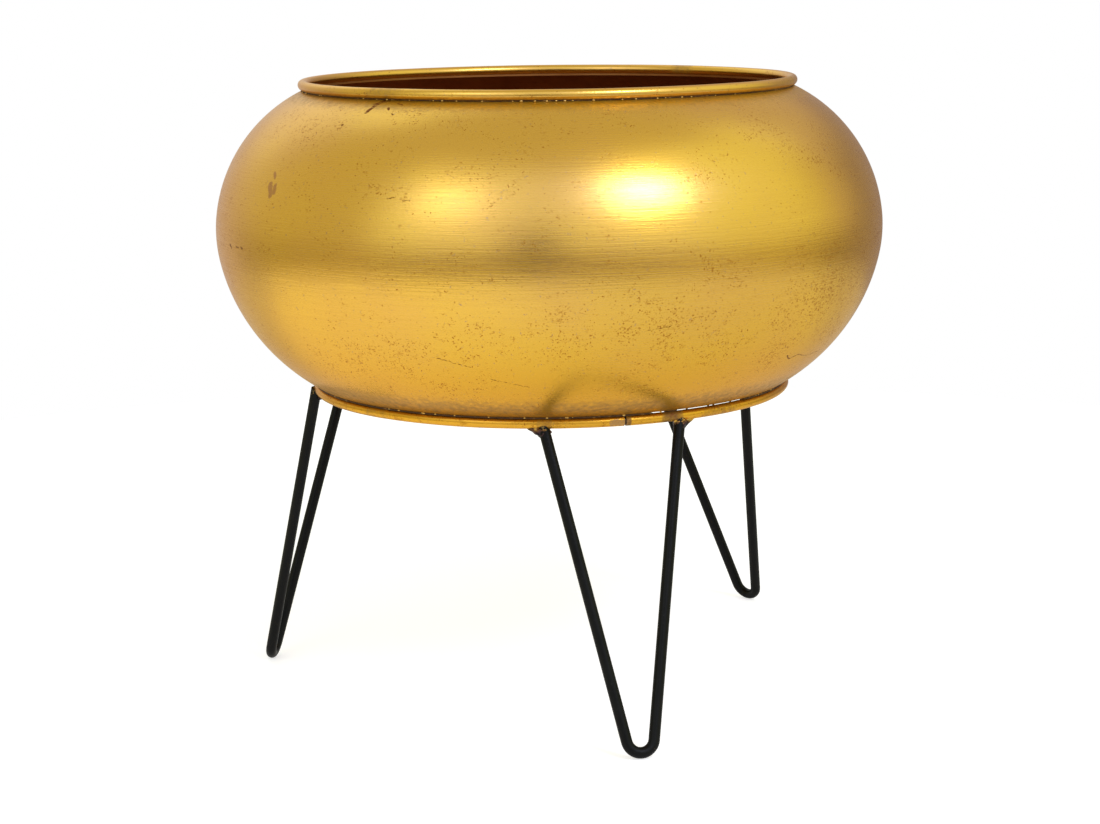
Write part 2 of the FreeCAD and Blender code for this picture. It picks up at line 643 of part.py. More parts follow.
def make_web(leg, number, side):
    # a hollow-edged web from the ring down the outer flank of a rod
    body = doc.addObject("PartDesign::Body", f"{leg}_web_{number}")
    tops, foot = leg_points(leg)
    azimuth = math.radians(size(f"{leg}_azimuth") + side * size(f"{leg}_spread_angle"))
    top = tops[number - 1]
    along = FreeCAD.Vector(-side * math.sin(azimuth), side * math.cos(azimuth), 0)
    placement = leg_placement(leg)
    bend_centre = foot + placement.Rotation.multVec(FreeCAD.Vector(0, 0, 1)) * size("leg_bend_radius")
    outward = along * size("leg_bend_radius")
    down = (bend_centre + outward - top).normalize()
    plumb = (down - along * down.dot(along)).normalize()
    sketch = new_sketch(body, f"{leg}_web_outline_{number}")
    corner = math.acos(down.dot(along))
    reach = size("web_reach")
    drop = size("web_drop")
    rod_end = (drop * math.cos(corner), -drop * math.sin(corner))
    ring_side = add_line(sketch, (0, 0), (reach, 0))
    rod_side = add_line(sketch, rod_end, (0, 0))
    chord = FreeCAD.Vector(reach - rod_end[0], -rod_end[1], 0)
    hollow = size("web_hollow_radius")
    middle = FreeCAD.Vector(*rod_end, 0) + chord / 2
    away = FreeCAD.Vector(-rod_end[1], rod_end[0] - reach, 0).normalize()
    centre = middle + away * math.sqrt(hollow ** 2 - (chord.Length / 2) ** 2)
    first = math.atan2(-centre.y, reach - centre.x)
    last = math.atan2(rod_end[1] - centre.y, rod_end[0] - centre.x)
    edge = add_arc(sketch, (centre.x, centre.y), hollow, first, last)
    relate(sketch, "Coincident", ring_side, "start", *ORIGIN)
    relate(sketch, "Coincident", rod_side, "end", *ORIGIN)
    relate(sketch, "Horizontal", ring_side)
    relate(sketch, "Coincident", edge, "start", ring_side, "end")
    relate(sketch, "Coincident", edge, "end", rod_side, "start")
    drive(sketch, "Distance", (ring_side,), "Sizes.web_reach")
    drive(sketch, "Distance", (rod_side,), "Sizes.web_drop")
    drive(sketch, "Radius", (edge,), "Sizes.web_hollow_radius")
    angle = numbered((rod_side, "end", ring_side, "start"))
    sketch.addConstraint(Sketcher.Constraint("Angle", *angle, corner))
    pad = body.newObject("PartDesign::Pad", f"{leg}_web_pad_{number}")
    pad.Profile = sketch
    pad.setExpression("Length", "Sizes.web_thickness")
    pad.Midplane = True
    body.Tip = pad
    through = (plumb * -1).cross(along)
    centre_line = FreeCAD.Vector(top.x, top.y, place("foot_ring_height"))
    body.Placement = FreeCAD.Placement(
        centre_line, FreeCAD.Rotation(along, through, plumb * -1, "ZXY")
    )
    return body


def make_leg_welds(leg, ring, leg_part):
    pieces = []
    for number, side in enumerate((-1, 1), start=1):
        azimuth = f"(Sizes.{leg}_azimuth + {side} * Sizes.{leg}_spread_angle)"
        pieces.append(make_bead(leg, number, azimuth, side))
        if leg in WEBBED_LEGS:
            pieces.append(make_web(leg, number, side))
    label = f"{leg}_leg_welds"
    lumps = make_fusion(f"{leg}_weld_metal", pieces)
    return keep(label, make_cut(label, lumps, (ring, leg_part)))


def build():
    fill_sheets()
    lower_shell = make_lower_shell()
    make_upper_shell()
    make_seam_weld()
    make_ring(
        "mouth_ring",
        "Sizes.mouth_ring_radius",
        "Places.mouth_end_turn",
        "Places.mouth_ring_height",
        "Sizes.mouth_weld_azimuth",
    )
    mouth_weld = make_ring_weld(
        "mouth_ring_weld",
        "Places.mouth_weld_ring_radius",
        "Places.mouth_weld_height",
        "Places.mouth_weld_turn",
        "Sizes.mouth_weld_azimuth",
    )
    make_mouth_braze(mouth_weld)
    foot_ring = make_ring(
        "foot_ring",
        "Sizes.foot_ring_radius",
        "Places.foot_end_turn",
        "Places.foot_ring_height",
        "Sizes.foot_weld_azimuth",
    )
    foot_weld = make_ring_weld(
        "foot_ring_weld",
        "Sizes.foot_ring_radius",
        "Places.foot_ring_height",
        "Places.foot_weld_turn",
        "Sizes.foot_weld_azimuth",
    )
    make_foot_braze(foot_weld)
    make_tacks(lower_shell)
    for leg in LEGS:
        leg_part = make_leg(leg, foot_ring)
        make_leg_welds(leg, foot_ring, leg_part)
    doc.recompute()


def check_and_export():
    for item in doc.Objects:
        if "Invalid" in item.State or "Error" in item.State:
            raise RuntimeError(f"{item.Name} failed: {item.State}")
    os.makedirs("parts", exist_ok=True)
    for part in sub_parts:
        shape = part.Shape
        if shape.isNull() or not shape.isValid() or not shape.Solids:
            raise RuntimeError(f"{part.Label} has no valid solid")
        print(part.Label, "solids", len(shape.Solids), "volume", round(shape.Volume, 1))
    for part in sub_parts:
        part.Shape.exportStep(os.path.join("parts", f"{part.Label}.step"))


build()
check_and_export()
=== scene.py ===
import math
import random

import bmesh
import bpy
from mathutils import Matrix, Vector, noise


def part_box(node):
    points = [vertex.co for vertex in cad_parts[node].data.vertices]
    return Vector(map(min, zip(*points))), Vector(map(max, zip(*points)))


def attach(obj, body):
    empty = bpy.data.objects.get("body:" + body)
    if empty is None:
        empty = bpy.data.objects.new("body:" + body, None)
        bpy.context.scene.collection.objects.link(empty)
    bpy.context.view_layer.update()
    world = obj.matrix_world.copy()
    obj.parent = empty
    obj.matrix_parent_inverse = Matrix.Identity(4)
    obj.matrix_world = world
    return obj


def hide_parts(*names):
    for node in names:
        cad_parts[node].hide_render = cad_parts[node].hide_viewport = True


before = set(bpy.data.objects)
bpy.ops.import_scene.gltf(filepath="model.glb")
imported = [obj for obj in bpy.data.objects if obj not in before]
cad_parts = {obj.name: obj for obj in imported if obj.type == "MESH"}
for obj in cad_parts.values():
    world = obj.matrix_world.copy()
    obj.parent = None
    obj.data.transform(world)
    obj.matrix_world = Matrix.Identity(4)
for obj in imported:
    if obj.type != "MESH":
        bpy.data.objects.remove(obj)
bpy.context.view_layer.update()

# Metres and degrees. Azimuths run anticlockwise from +X, seen from above; the camera looks along +Y.
MM = 0.001
TURN_STEPS = 384
SHARP_TURN = 40.0

# the bowl's section, as the frame has it
bowl_low, bowl_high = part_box("bowl_lower_shell")
BOWL_RADIUS = (bowl_high.x - bowl_low.x) / 2
SHEET = 0.9 * MM
BELLY_ARC = 60.0 * MM
LOWER_ARC = 88.0 * MM
UPPER_ARC = 71.0 * MM
CORNER_ARC = 2.5 * MM
LOWER_BELLY_TURN = 12.0
UPPER_BELLY_TURN = 8.0
SEAM_GAP = 0.8 * MM
BOTTOM_HEIGHT = bowl_low.z
BELLY_HEIGHT = bowl_high.z + SEAM_GAP / 2

mouth_low, mouth_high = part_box("mouth_ring")
foot_low, foot_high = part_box("foot_ring")
WIRE_RADIUS = (mouth_high.z - mouth_low.z) / 2
MOUTH_RING_RADIUS = (mouth_high.x - mouth_low.x) / 2 - WIRE_RADIUS
FOOT_RING_RADIUS = (foot_high.x - foot_low.x) / 2 - WIRE_RADIUS
MOUTH_RING_HEIGHT = (mouth_low.z + mouth_high.z) / 2
FOOT_RING_HEIGHT = (foot_low.z + foot_high.z) / 2
LIP_INSET = 0.95 * MM
LIP_RADIUS = MOUTH_RING_RADIUS - LIP_INSET
RING_UNDERSIDE = foot_low.z
MOUTH_WELD_AZIMUTH = 52.8
FOOT_WELD_AZIMUTH = -73.3

# the hairpins as the frame has them: azimuth, half spread, rod top past the ring's line, foot from the axis
LEGS = {
    "front": (-75.6, 16.3, 0.0, 148.2 * MM),
    "right": (46.9, 17.1, 0.0, 152.9 * MM),
    "left": (171.5, 17.2, 1.2 * MM, 136.7 * MM),
}
LEG_BEND_RADIUS = 6.1 * MM
# the foot ring's braze is left open from here and over this turn
OPEN_FROM = -66.7
OPEN_TURN = 27.4

# the photograph's camera
CAMERA_DISTANCE = 1.1343
CAMERA_HEIGHT = 0.3333
CAMERA_PITCH = -10.577
CAMERA_YAW = -0.035
CAMERA_ROLL = -0.698
FOCAL_PIXELS = 2466.0
PHOTO_WIDTH = 1100.0
SENSOR_WIDTH = 36.0


def cos_deg(angle):
    return math.cos(math.radians(angle))


def sin_deg(angle):
    return math.sin(math.radians(angle))


def around(radius, azimuth, height):
    return Vector((radius * cos_deg(azimuth), radius * sin_deg(azimuth), height))


# beads of braze that show, by azimuth and size in millimetres
MOUTH_BEADS = (
    (-95.6, 0.55), (-92.7, 0.45), (-90.2, 0.5), (-88.2, 0.4), (-86.4, 0.5), (-80.3, 0.5), (-71.0, 0.4),
    (-66.0, 0.4), (-60.0, 0.45), (-104.0, 0.35), (-113.0, 0.4), (-121.0, 0.3),
)
FOOT_BEADS = (
    (-127.0, 0.45), (-120.0, 0.5), (-117.0, 0.4), (-96.0, 0.4),
    (-91.0, 0.45), (-86.5, 0.5), (-73.7, 0.6), (-64.8, 0.4),
)
# the braze runs under the mouth ring and over the foot ring
MOUTH_BEAD = 0.24 * MM
MOUTH_BEAD_UNEVEN_SHARE = 0.5
FOOT_BEAD = 0.5 * MM
FOOT_BEAD_UNEVEN_SHARE = 0.30
FOOT_BEAD_OUT = 1.0 * MM
FOOT_BEAD_DROP = 0.25 * MM
BEAD_STEP = 0.35
BEAD_SIDES = 10
BEAD_END = 0.8
# where the spatter lies, and how many small beads are strewn at random
MOUTH_SPATTER = 0.42 * MM
MOUTH_SPATTER_COUNT = 46
MOUTH_SPATTER_SIZES = (0.2 * MM, 0.42 * MM)
FOOT_SPATTER_OUT = 1.5 * MM
FOOT_STREWN_OUT = 1.4 * MM
FOOT_SPATTER_DROP = 0.1 * MM
FOOT_SPATTER_COUNT = 30
FOOT_SPATTER_SIZES = (0.2 * MM, 0.4 * MM)
FOOT_SPATTER_CLEAR = 5.0
SPATTER_SHAPE_SHARES = (0.8, 1.25, 0.8)
# how uneven the wire of the rings is
RING_SWAY = 0.12 * MM
RING_SWELL_SHARE = 0.010
RING_STEPS = 720
RING_SIDES = 40
# the butt joint: how far it is dressed flat, how deep the file went, and the crack left in it
DRESSED_MIDDLE = 1.7
DRESSED_REACH = (1.6, 2.6)
DRESSED_TURN = -15.0
DRESSED_DEPTH_SHARE = 0.09
CRACK_REACH = (0.12, 0.26)
CRACK_DEPTH = 0.5 * MM
# stains on the rings: azimuth, reach either way, how thick
MOUTH_STAINS = ((52.8, 4.0, 0.3), (-128.0, 6.0, 0.3), (-20.0, 8.0, 0.25))
FOOT_STAINS = (
    (-61.8, 3.0, 0.85), (-91.5, 2.2, 0.35), (-72.6, 0.7, 0.7),
    (-48.0, 7.0, 0.3), (-134.0, 5.0, 0.2), (120.0, 9.0, 0.3),
)
# where on its section each ring meets the bowl, and how much painted shade darkens and dulls it there
MOUTH_SEAT_TURN = -80.0
FOOT_SEAT_TURN = 105.0
SEAT_SHADE_REACH = (15.0, 60.0)
SEAT_SHADE = 0.6
# runs of the front webs in millimetres: reach along the ring, drop down the rod, outward, thickness
LEFT_WEB_RUNS = (
    (7.6, 3.9, 0.0, 0.85), (6.6, 3.6, 0.9, 0.8), (6.0, 3.4, -0.9, 0.8), (5.0, 2.6, 0.3, 1.1),
    (4.0, 1.8, 0.9, 1.1), (4.0, 1.8, -0.8, 1.1), (3.0, 0.8, 0.0, 1.3),
)
# passes of the collar round the rod's top: turn from and to, drop, thickness
LEFT_WEB_COLLAR = ((-60, 200, 0.3, 0.85), (-40, 150, 1.5, 0.7), (-30, 110, 2.6, 0.6))
# single drops: reach, drop, outward, size
LEFT_WEB_SPATTER = ((-2.7, 1.3, 0.4, 0.75),)
RIGHT_WEB_RUNS = (
    (8.0, 3.6, 0.0, 0.9), (6.8, 3.2, 0.9, 0.85), (6.0, 3.2, -0.9, 0.8), (5.0, 2.4, 0.4, 1.1),
    (4.2, 1.6, 1.0, 1.1), (4.0, 1.6, -0.8, 1.1), (3.0, 0.8, 0.0, 1.3),
)
RIGHT_WEB_COLLAR = (
    (-80, 260, 0.2, 1.0), (-20, 230, 1.4, 0.85), (10, 210, 2.7, 0.65), (100, 260, 3.6, 0.5),
)
RIGHT_WEB_SPATTER = (
    (1.2, 0.4, 2.4, 0.8), (0.2, -0.6, 2.6, 0.7), (-3.4, -0.4, 1.6, 0.8), (-5.2, -0.9, 1.4, 0.6),
)
WEB_START = -0.9
WEB_END = 1.9
WEB_STEPS = 8
WEB_SMOOTHING = 5
COLLAR_RADIUS = 2.1
# rows of the lump behind a rod's top: drop, reach either way, thickness
LUMP_ROWS = ((-0.6, 3.6, 1.0), (0.5, 2.8, 1.25), (1.7, 1.9, 1.0))
LUMP_BACK = 1.7
LUMP_BULGE = 0.5
LUMP_STEPS = 6
LUMP_SMOOTHING = 4
WELD_VOXEL = 0.24 * MM
WELD_RIPPLE = 0.20 * MM
WELD_RIPPLE_SCALE = 900.0
BEAD_RIPPLE = 0.06 * MM
BEAD_RIPPLE_SCALE = 2500.0


def blend_step(low, high, value):
    share = min(1.0, max(0.0, (value - low) / (high - low)))
    return share * share * (3 - 2 * share)


def off_by(angle, middle):
    return abs((angle - middle + 180) % 360 - 180)


def add_item(name, data):
    item = bpy.data.objects.new(name, data)
    bpy.context.scene.collection.objects.link(item)
    return item


def new_mesh(name, vertices, faces):
    mesh = bpy.data.meshes.new(name)
    mesh.from_pydata(vertices, [], faces)
    mesh.validate()
    mesh.shade_smooth()
    return mesh


def new_object(name, vertices, faces):
    return add_item(name, new_mesh(name, vertices, faces))


def paint_points(item, name, values):
    paint = item.data.color_attributes.new(name, "FLOAT_COLOR", "POINT")
    for mark, value in zip(paint.data, values):
        mark.color = value


def band_faces(rows, columns, closed):
    # the faces between rows of points that each run round; the last row may join the first
    faces = []
    for row in range(rows if closed else rows - 1):
        low = row * columns
        high = (row + 1) % rows * columns
        for column in range(columns):
            after = (column + 1) % columns
            faces.append((low + column, high + column, high + after, low + after))
    return faces


# Materials

class Nodes:
    # the node tree of a material or the world, with each node made and connected in one call
    def __init__(self, owner):
        self.owner = owner
        owner.use_nodes = True
        self.tree = owner.node_tree
        self.tree.nodes.clear()

    def add(self, kind, inputs=None, **settings):
        made = self.tree.nodes.new("ShaderNode" + kind)
        for key, value in settings.items():
            setattr(made, key, value)
        for key, value in (inputs or {}).items():
            self.put(made.inputs[key], value)
        return made

    def put(self, socket, value):
        if isinstance(value, bpy.types.NodeSocket):
            self.tree.links.new(value, socket)
        elif isinstance(value, bpy.types.Node):
            self.tree.links.new(value.outputs[0], socket)
        else:
            socket.default_value = (*value, 1.0) if socket.type == "RGBA" else value

    def math(self, operation, first, second=0.0, third=0.0, clamp=False):
        made = self.add("Math", {0: first, 1: second, 2: third}, operation=operation, use_clamp=clamp)
        return made.outputs[0]

    def vector(self, operation, first, second=(0.0, 0.0, 0.0), third=(0.0, 0.0, 0.0)):
        made = self.add("VectorMath", {0: first, 1: second, 2: third}, operation=operation)
        return made.outputs["Value" if operation in ("LENGTH", "DISTANCE", "DOT_PRODUCT") else "Vector"]

    def mix(self, share, first, second):
        return self.add("Mix", {0: share, 6: first, 7: second}, data_type="RGBA").outputs[2]

    def ramp(self, value, low, high, out_low=0.0, out_high=1.0):
        inputs = {"Value": value, "From Min": low, "From Max": high, "To Min": out_low, "To Max": out_high}
        return self.add("MapRange", inputs, interpolation_type="SMOOTHSTEP").outputs[0]

    def noise(self, vector, scale, detail=2.0, roughness=0.5, w=None):
        inputs = {"Vector": vector, "Scale": scale, "Detail": detail, "Roughness": roughness}
        if w is not None:
            inputs["W"] = w
        return self.add("TexNoise", inputs, noise_dimensions="3D" if w is None else "4D").outputs["Fac"]

    def relief(self, height, strength, distance):
        return {"Normal": self.add("Bump", {"Height": height, "Strength": strength, "Distance": distance})}

    def principled(self, tone, metal, roughness, more=()):
        inputs = {"Base Color": tone, "Metallic": metal, "Roughness": roughness}
        inputs.update(more)
        return self.add("BsdfPrincipled", inputs)

    def finish(self, shader, output="OutputMaterial"):
        self.tree.links.new(shader.outputs[0], self.add(output).inputs["Surface"])
        return self.owner


def material_nodes(name):
    # the nodes of a new material, and the position on the object
    nodes = Nodes(bpy.data.materials.new(name))
    return nodes, nodes.add("TexCoord").outputs["Object"]


def turned_coordinates(nodes, position):
    # height, unit vector away from the upright axis, and radius
    parts = nodes.add("SeparateXYZ", {0: position})
    flat = nodes.add("CombineXYZ", {0: parts.outputs[0], 1: parts.outputs[1]})
    outward = nodes.vector("NORMALIZE", flat)
    return parts.outputs[2], outward, nodes.vector("LENGTH", flat)


def drawn_out(nodes, outward, height, along, across):
    # coordinates stretched round the bowl: "along" in cycles per turn, "across" in cycles per metre
    upright = nodes.add("CombineXYZ", {2: nodes.math("MULTIPLY", height, across)})
    return nodes.vector("MULTIPLY_ADD", outward, (along, along, 0.0), upright)


def brush_streaks(nodes, outward, radius, height, along, across, detail=3.0):
    spread = drawn_out(nodes, outward, height, along, across)
    return nodes.noise(spread, 1.0, detail, 0.6, w=nodes.math("MULTIPLY", radius, across))


LACQUER_SHARE = 0.085
# heights above the bottom over which the lacquer goes from worn to whole and the gold from plain to red
LACQUER_HEIGHTS = (8.0 * MM, 70.0 * MM)
LACQUER_LEAST_SHARE = 0.35
RED_HEIGHTS = (38.0 * MM, 6.0 * MM)
RED_SHARE = 0.85
# distances from the belly over which the brushing goes from plain to faint
BRUSHED_BAND = (12.0 * MM, 50.0 * MM)
GOLD = (0.83, 0.465, 0.010)
GOLD_DEEP = (0.70, 0.36, 0.006)
GOLD_ROSE = (0.79, 0.42, 0.030)
GOLD_RED = (0.80, 0.385, 0.008)
TARNISH = (0.34, 0.095, 0.007)
CRACK = (0.020, 0.008, 0.003)
SCRATCH = (0.20, 0.060, 0.006)
# dull brown of film and stains, and of painted shade beside the rings and where they seat
OXIDE_AND_SHADE = (0.19, 0.085, 0.026)
BARE_JOINT = (0.45, 0.24, 0.09)
EDGE_TINT = (1.0, 0.86, 0.72)
BRUSH_ANISOTROPY = 0.35
QUARTER_TURN = 0.25
# the legs' scuffs near the floor, and stray gold from below the foot ring up
FOOT_SCUFF_HEIGHTS = (10.0 * MM, 1.0 * MM)
STRAY_HEIGHTS = (-6.0 * MM, 1.0 * MM)
# where the leg welds change colour, above the foot ring's underside
WELD_BROWN_HEIGHTS = (-2.2 * MM, -0.8 * MM)
WELD_GILDED_HEIGHTS = (2.9 * MM, 4.5 * MM)
WELD_BLACK_HEIGHTS = (-3.0 * MM, -4.2 * MM)
WELD_PATCH = 6.0 * MM
GILDED_PATCH = 7.0 * MM
BRUSH_RELIEF = 0.4 * MM
FINE_RELIEF = 0.3 * MM
WELD_RELIEF = 0.5 * MM

# clusters of brown marks: azimuth, height in millimetres, reach round the bowl and up it, thickness
MARK_CLUSTERS = (
    (-120, 165, 40, 26, 0.11), (-88, 178, 30, 30, 0.09), (-66, 182, 26, 34, 0.16),
    (-38, 183, 28, 36, 0.20), (-8, 215, 26, 55, 0.17), (-150, 262, 26, 12, 0.14),
    (-112, 267, 22, 8, 0.10), (-168, 215, 22, 40, 0.10), (-48, 250, 34, 22, 0.08),
    (40, 185, 46, 36, 0.12), (110, 235, 40, 40, 0.10), (160, 180, 34, 30, 0.12),
)
# single scratches and nicks in millimetres: half the width, then points as azimuth and height
SCRATCHES = (
    (0.9, (-129.3, 267.8), (-128.6, 270.7), (-127.9, 272.4)),
    (0.4, (-129.6, 271.0), (-126.2, 272.3)),
    (0.4, (-124.8, 269.7), (-124.1, 269.0)),
    (0.35, (-122.6, 267.7), (-122.1, 267.2)),
    (0.35, (-123.4, 271.5), (-121.8, 271.0)),
    (0.45, (-132.9, 262.7), (-132.6, 262.5)),
    (0.45, (-156.3, 209.1), (-155.5, 208.2)),
    (0.3, (-153.2, 208.9), (-152.0, 208.9)),
    (0.35, (-150.9, 209.2), (-150.3, 208.8)),
    (0.3, (-40.9, 161.4), (-39.3, 159.2), (-36.9, 160.6)),
    (0.18, (-36.9, 160.6), (-32.2, 158.4), (-26.0, 158.8)),
    (0.15, (-109.6, 169.3), (-104.0, 165.6)),
    (0.15, (-100.9, 160.1), (-94.0, 156.3)),
    (0.12, (-74.5, 180.8), (-70.2, 182.3)),
    (0.15, (-116.6, 235.1), (-115.0, 236.0)),
    (0.15, (-113.8, 234.5), (-112.5, 235.0)),
)
# paler smudges, given in the same way
SMUDGES = (
    (0.6, (-143.9, 242.0), (-143.3, 240.6)),
    (1.1, (-143.9, 237.3), (-142.9, 233.2)),
    (0.9, (-142.3, 236.9), (-142.1, 234.6)),
)
SCRATCH_CORE = -0.08 * MM
SCRATCH_EDGE = 0.22 * MM
SMUDGE_EDGE = 0.8 * MM
SCRATCH_WOBBLE = 1.6 * MM


def crackle_marks(nodes, position, outward, height, gate):
    # fine squiggles of tarnish and dots, thick where the gate is high
    squiggle = nodes.noise(drawn_out(nodes, outward, height, 48.0, 560.0), 1.0, 2.0, 0.6)
    line = nodes.math("ABSOLUTE", nodes.math("SUBTRACT", squiggle, 0.5))
    line = nodes.ramp(line, 0.005, 0.024, 1.0, 0.0)
    broken = nodes.noise(position, 420.0, 1.0, 0.5)
    broken = nodes.ramp(nodes.math("MULTIPLY_ADD", gate, 0.9, broken), 1.10, 1.24)
    dots = nodes.noise(position, 1200.0, 0.0, 0.5)
    dots = nodes.ramp(nodes.math("MULTIPLY_ADD", gate, 0.4, dots), 0.96, 1.05)
    return nodes.math("MAXIMUM", nodes.math("MULTIPLY", line, broken), dots)


def wall_radius(height):
    # the bowl's outer radius at a height
    if height < BELLY_HEIGHT - BELLY_ARC * sin_deg(LOWER_BELLY_TURN):
        centre, arc = LOWER_CENTRE, LOWER_ARC
    elif height > BELLY_HEIGHT + BELLY_ARC * sin_deg(UPPER_BELLY_TURN):
        centre, arc = UPPER_CENTRE, UPPER_ARC
    else:
        centre, arc = BELLY_CENTRE, BELLY_ARC
    return centre[0] + math.sqrt(arc * arc - (height - centre[1]) ** 2)


def wobbled(nodes, position):
    # the position, shifted a little at random
    wobble = nodes.add("TexNoise", {"Vector": position, "Scale": 700.0}).outputs["Color"]
    shift = nodes.vector("SUBTRACT", wobble, (0.5, 0.5, 0.5))
    return nodes.vector("MULTIPLY_ADD", shift, (SCRATCH_WOBBLE,) * 3, position)


def scratch_mask(nodes, spot, scratches, edge):
    # each scratch is a line between points on the wall, with an edge of that width
    nearest = 1.0
    for half_width, *points in scratches:
        places = [around(wall_radius(height * MM), azimuth, height * MM) for azimuth, height in points]
        for first, last in zip(places, places[1:]):
            run = last - first
            from_first = nodes.vector("SUBTRACT", spot, first)
            share = nodes.vector("DOT_PRODUCT", from_first, run / run.length_squared)
            share = nodes.math("ADD", share, 0.0, clamp=True)
            along = nodes.add("VectorMath", {0: run, "Scale": share}, operation="SCALE")
            gap = nodes.vector("DISTANCE", from_first, along)
            gap = nodes.math("SUBTRACT", gap, half_width * MM)
            nearest = nodes.math("MINIMUM", nearest, gap)
    return nodes.ramp(nearest, SCRATCH_CORE, edge, 1.0, 0.0)


def make_gold(name, brushing, speckle, rough, wear=0.0, scratched=False):
    # antique gold over thin metal: brush streaks, soft mottling, brown crackle in clusters
    nodes, position = material_nodes(name)
    height, outward, radius = turned_coordinates(nodes, position)
    fine = brush_streaks(nodes, outward, radius, height, 5.0, 1900.0, 4.0)
    broad = brush_streaks(nodes, outward, radius, height, 2.0, 420.0)
    mottle = nodes.noise(position, 14.0, 3.0, 0.55)
    grain = nodes.noise(position, 1500.0, 2.0, 0.6)
    painted = nodes.add("Attribute", attribute_name="wear_and_shade")
    wear_and_shade = nodes.add("SeparateColor", {0: painted.outputs["Color"]})

    from_belly = nodes.math("ABSOLUTE", nodes.math("SUBTRACT", height, BELLY_HEIGHT))
    belly = nodes.ramp(from_belly, *BRUSHED_BAND, 1.0, 0.35)
    streak = nodes.math("SUBTRACT", nodes.ramp(fine, 0.3, 0.7), 0.5)
    streak = nodes.math("MULTIPLY", streak, nodes.math("MULTIPLY", belly, brushing))

    tone = nodes.mix(nodes.ramp(mottle, 0.35, 0.7), GOLD, GOLD_ROSE)
    tone = nodes.mix(nodes.ramp(broad, 0.5, 0.85, 0.0, 0.22), tone, GOLD_DEEP)
    tone = nodes.mix(nodes.math("MULTIPLY_ADD", streak, 0.24, 0.12, clamp=True), tone, GOLD_DEEP)
    from_bottom = nodes.math("SUBTRACT", height, BOTTOM_HEIGHT)
    tone = nodes.mix(nodes.ramp(from_bottom, *RED_HEIGHTS, 0.0, RED_SHARE), tone, GOLD_RED)

    cluster = nodes.noise(position, 60.0, 3.0, 0.6)
    marks = crackle_marks(nodes, position, outward, height, nodes.math("ADD", cluster, wear_and_shade.outputs[0]))
    marks = nodes.math("MULTIPLY", marks, speckle, clamp=True)
    if wear:
        scuff = nodes.ramp(nodes.noise(position, 190.0, 4.0, 0.75), 0.55, 0.66, 0.0, wear)
        scuff = nodes.math("MULTIPLY", scuff, nodes.ramp(wear_and_shade.outputs[0], 0.0, 0.10))
        marks = nodes.math("MAXIMUM", marks, scuff)

    # dull brown film where dirt and flux stay at the rings' joints, and painted shade mixed with film
    # beside the rings on the bowl and where the rings seat on it
    ragged = nodes.math("SUBTRACT", nodes.noise(position, 380.0, 4.0, 0.7), 0.5)
    dullness = nodes.math("MULTIPLY_ADD", ragged, 1.5, wear_and_shade.outputs[1], clamp=True)
    dullness = nodes.math("MULTIPLY", dullness, nodes.ramp(wear_and_shade.outputs[1], 0.0, 0.25))
    torn = nodes.math("SUBTRACT", nodes.noise(position, 620.0, 4.0, 0.75), 0.5)
    bare = nodes.ramp(nodes.math("MULTIPLY_ADD", torn, 4.0, wear_and_shade.outputs[2]), 0.50, 0.70, 0.0, 0.8)

    # film and painted shade darken the gold to dull brown
    tone = nodes.mix(dullness, tone, OXIDE_AND_SHADE)
    tone = nodes.mix(bare, tone, BARE_JOINT)
    tone = nodes.mix(marks, tone, TARNISH)
    tone = nodes.mix(painted.outputs["Alpha"], tone, CRACK)
    if scratched:
        spot = wobbled(nodes, position)
        scratches = scratch_mask(nodes, spot, SCRATCHES, SCRATCH_EDGE)
        smudges = nodes.math("MULTIPLY", scratch_mask(nodes, spot, SMUDGES, SMUDGE_EDGE), 0.7)
        tone = nodes.mix(smudges, tone, TARNISH)
        broken = nodes.ramp(nodes.noise(position, 900.0), 0.32, 0.52, 0.4, 1.0)
        scratches = nodes.math("MULTIPLY", scratches, broken)
        tone = nodes.mix(scratches, tone, SCRATCH)
        marks = nodes.math("MAXIMUM", marks, scratches)

    roughness = nodes.math("MULTIPLY_ADD", streak, 0.10, rough)
    roughness = nodes.math("MULTIPLY_ADD", nodes.math("SUBTRACT", mottle, 0.5), 0.12, roughness)
    roughness = nodes.math("MULTIPLY_ADD", nodes.math("MAXIMUM", marks, bare), 0.15, roughness)
    roughness = nodes.math("MULTIPLY_ADD", dullness, 0.30, roughness)
    raised = nodes.math("MULTIPLY_ADD", grain, 0.7, nodes.math("MULTIPLY", streak, 0.45))
    raised = nodes.math("MULTIPLY_ADD", marks, -0.3, raised)
    relief = nodes.relief(raised, 0.16, BRUSH_RELIEF)
    brushed = {
        "Specular Tint": EDGE_TINT,
        "Anisotropic": BRUSH_ANISOTROPY,
        "Anisotropic Rotation": QUARTER_TURN,
        "Tangent": nodes.add("Tangent", direction_type="RADIAL", axis="Z"),
        **relief,
    }
    metal = nodes.math("MULTIPLY_ADD", dullness, -0.75, 1.0)
    shader = nodes.principled(tone, metal, roughness, brushed)
    # a thin lacquer that mirrors white
    mirror = {"Color": (1, 1, 1), "Roughness": 0.27, "Anisotropy": 0.2, "Rotation": QUARTER_TURN, **relief}
    lacquer = nodes.add("BsdfAnisotropic", mirror)
    clean = nodes.math("SUBTRACT", 1.0, nodes.math("MAXIMUM", dullness, marks), clamp=True)
    whole = nodes.ramp(from_bottom, *LACQUER_HEIGHTS, LACQUER_LEAST_SHARE, 1.0)
    clean = nodes.math("MULTIPLY", clean, whole)
    share = nodes.math("MULTIPLY", clean, LACQUER_SHARE)
    return nodes.finish(nodes.add("MixShader", {0: share, 1: shader, 2: lacquer}))


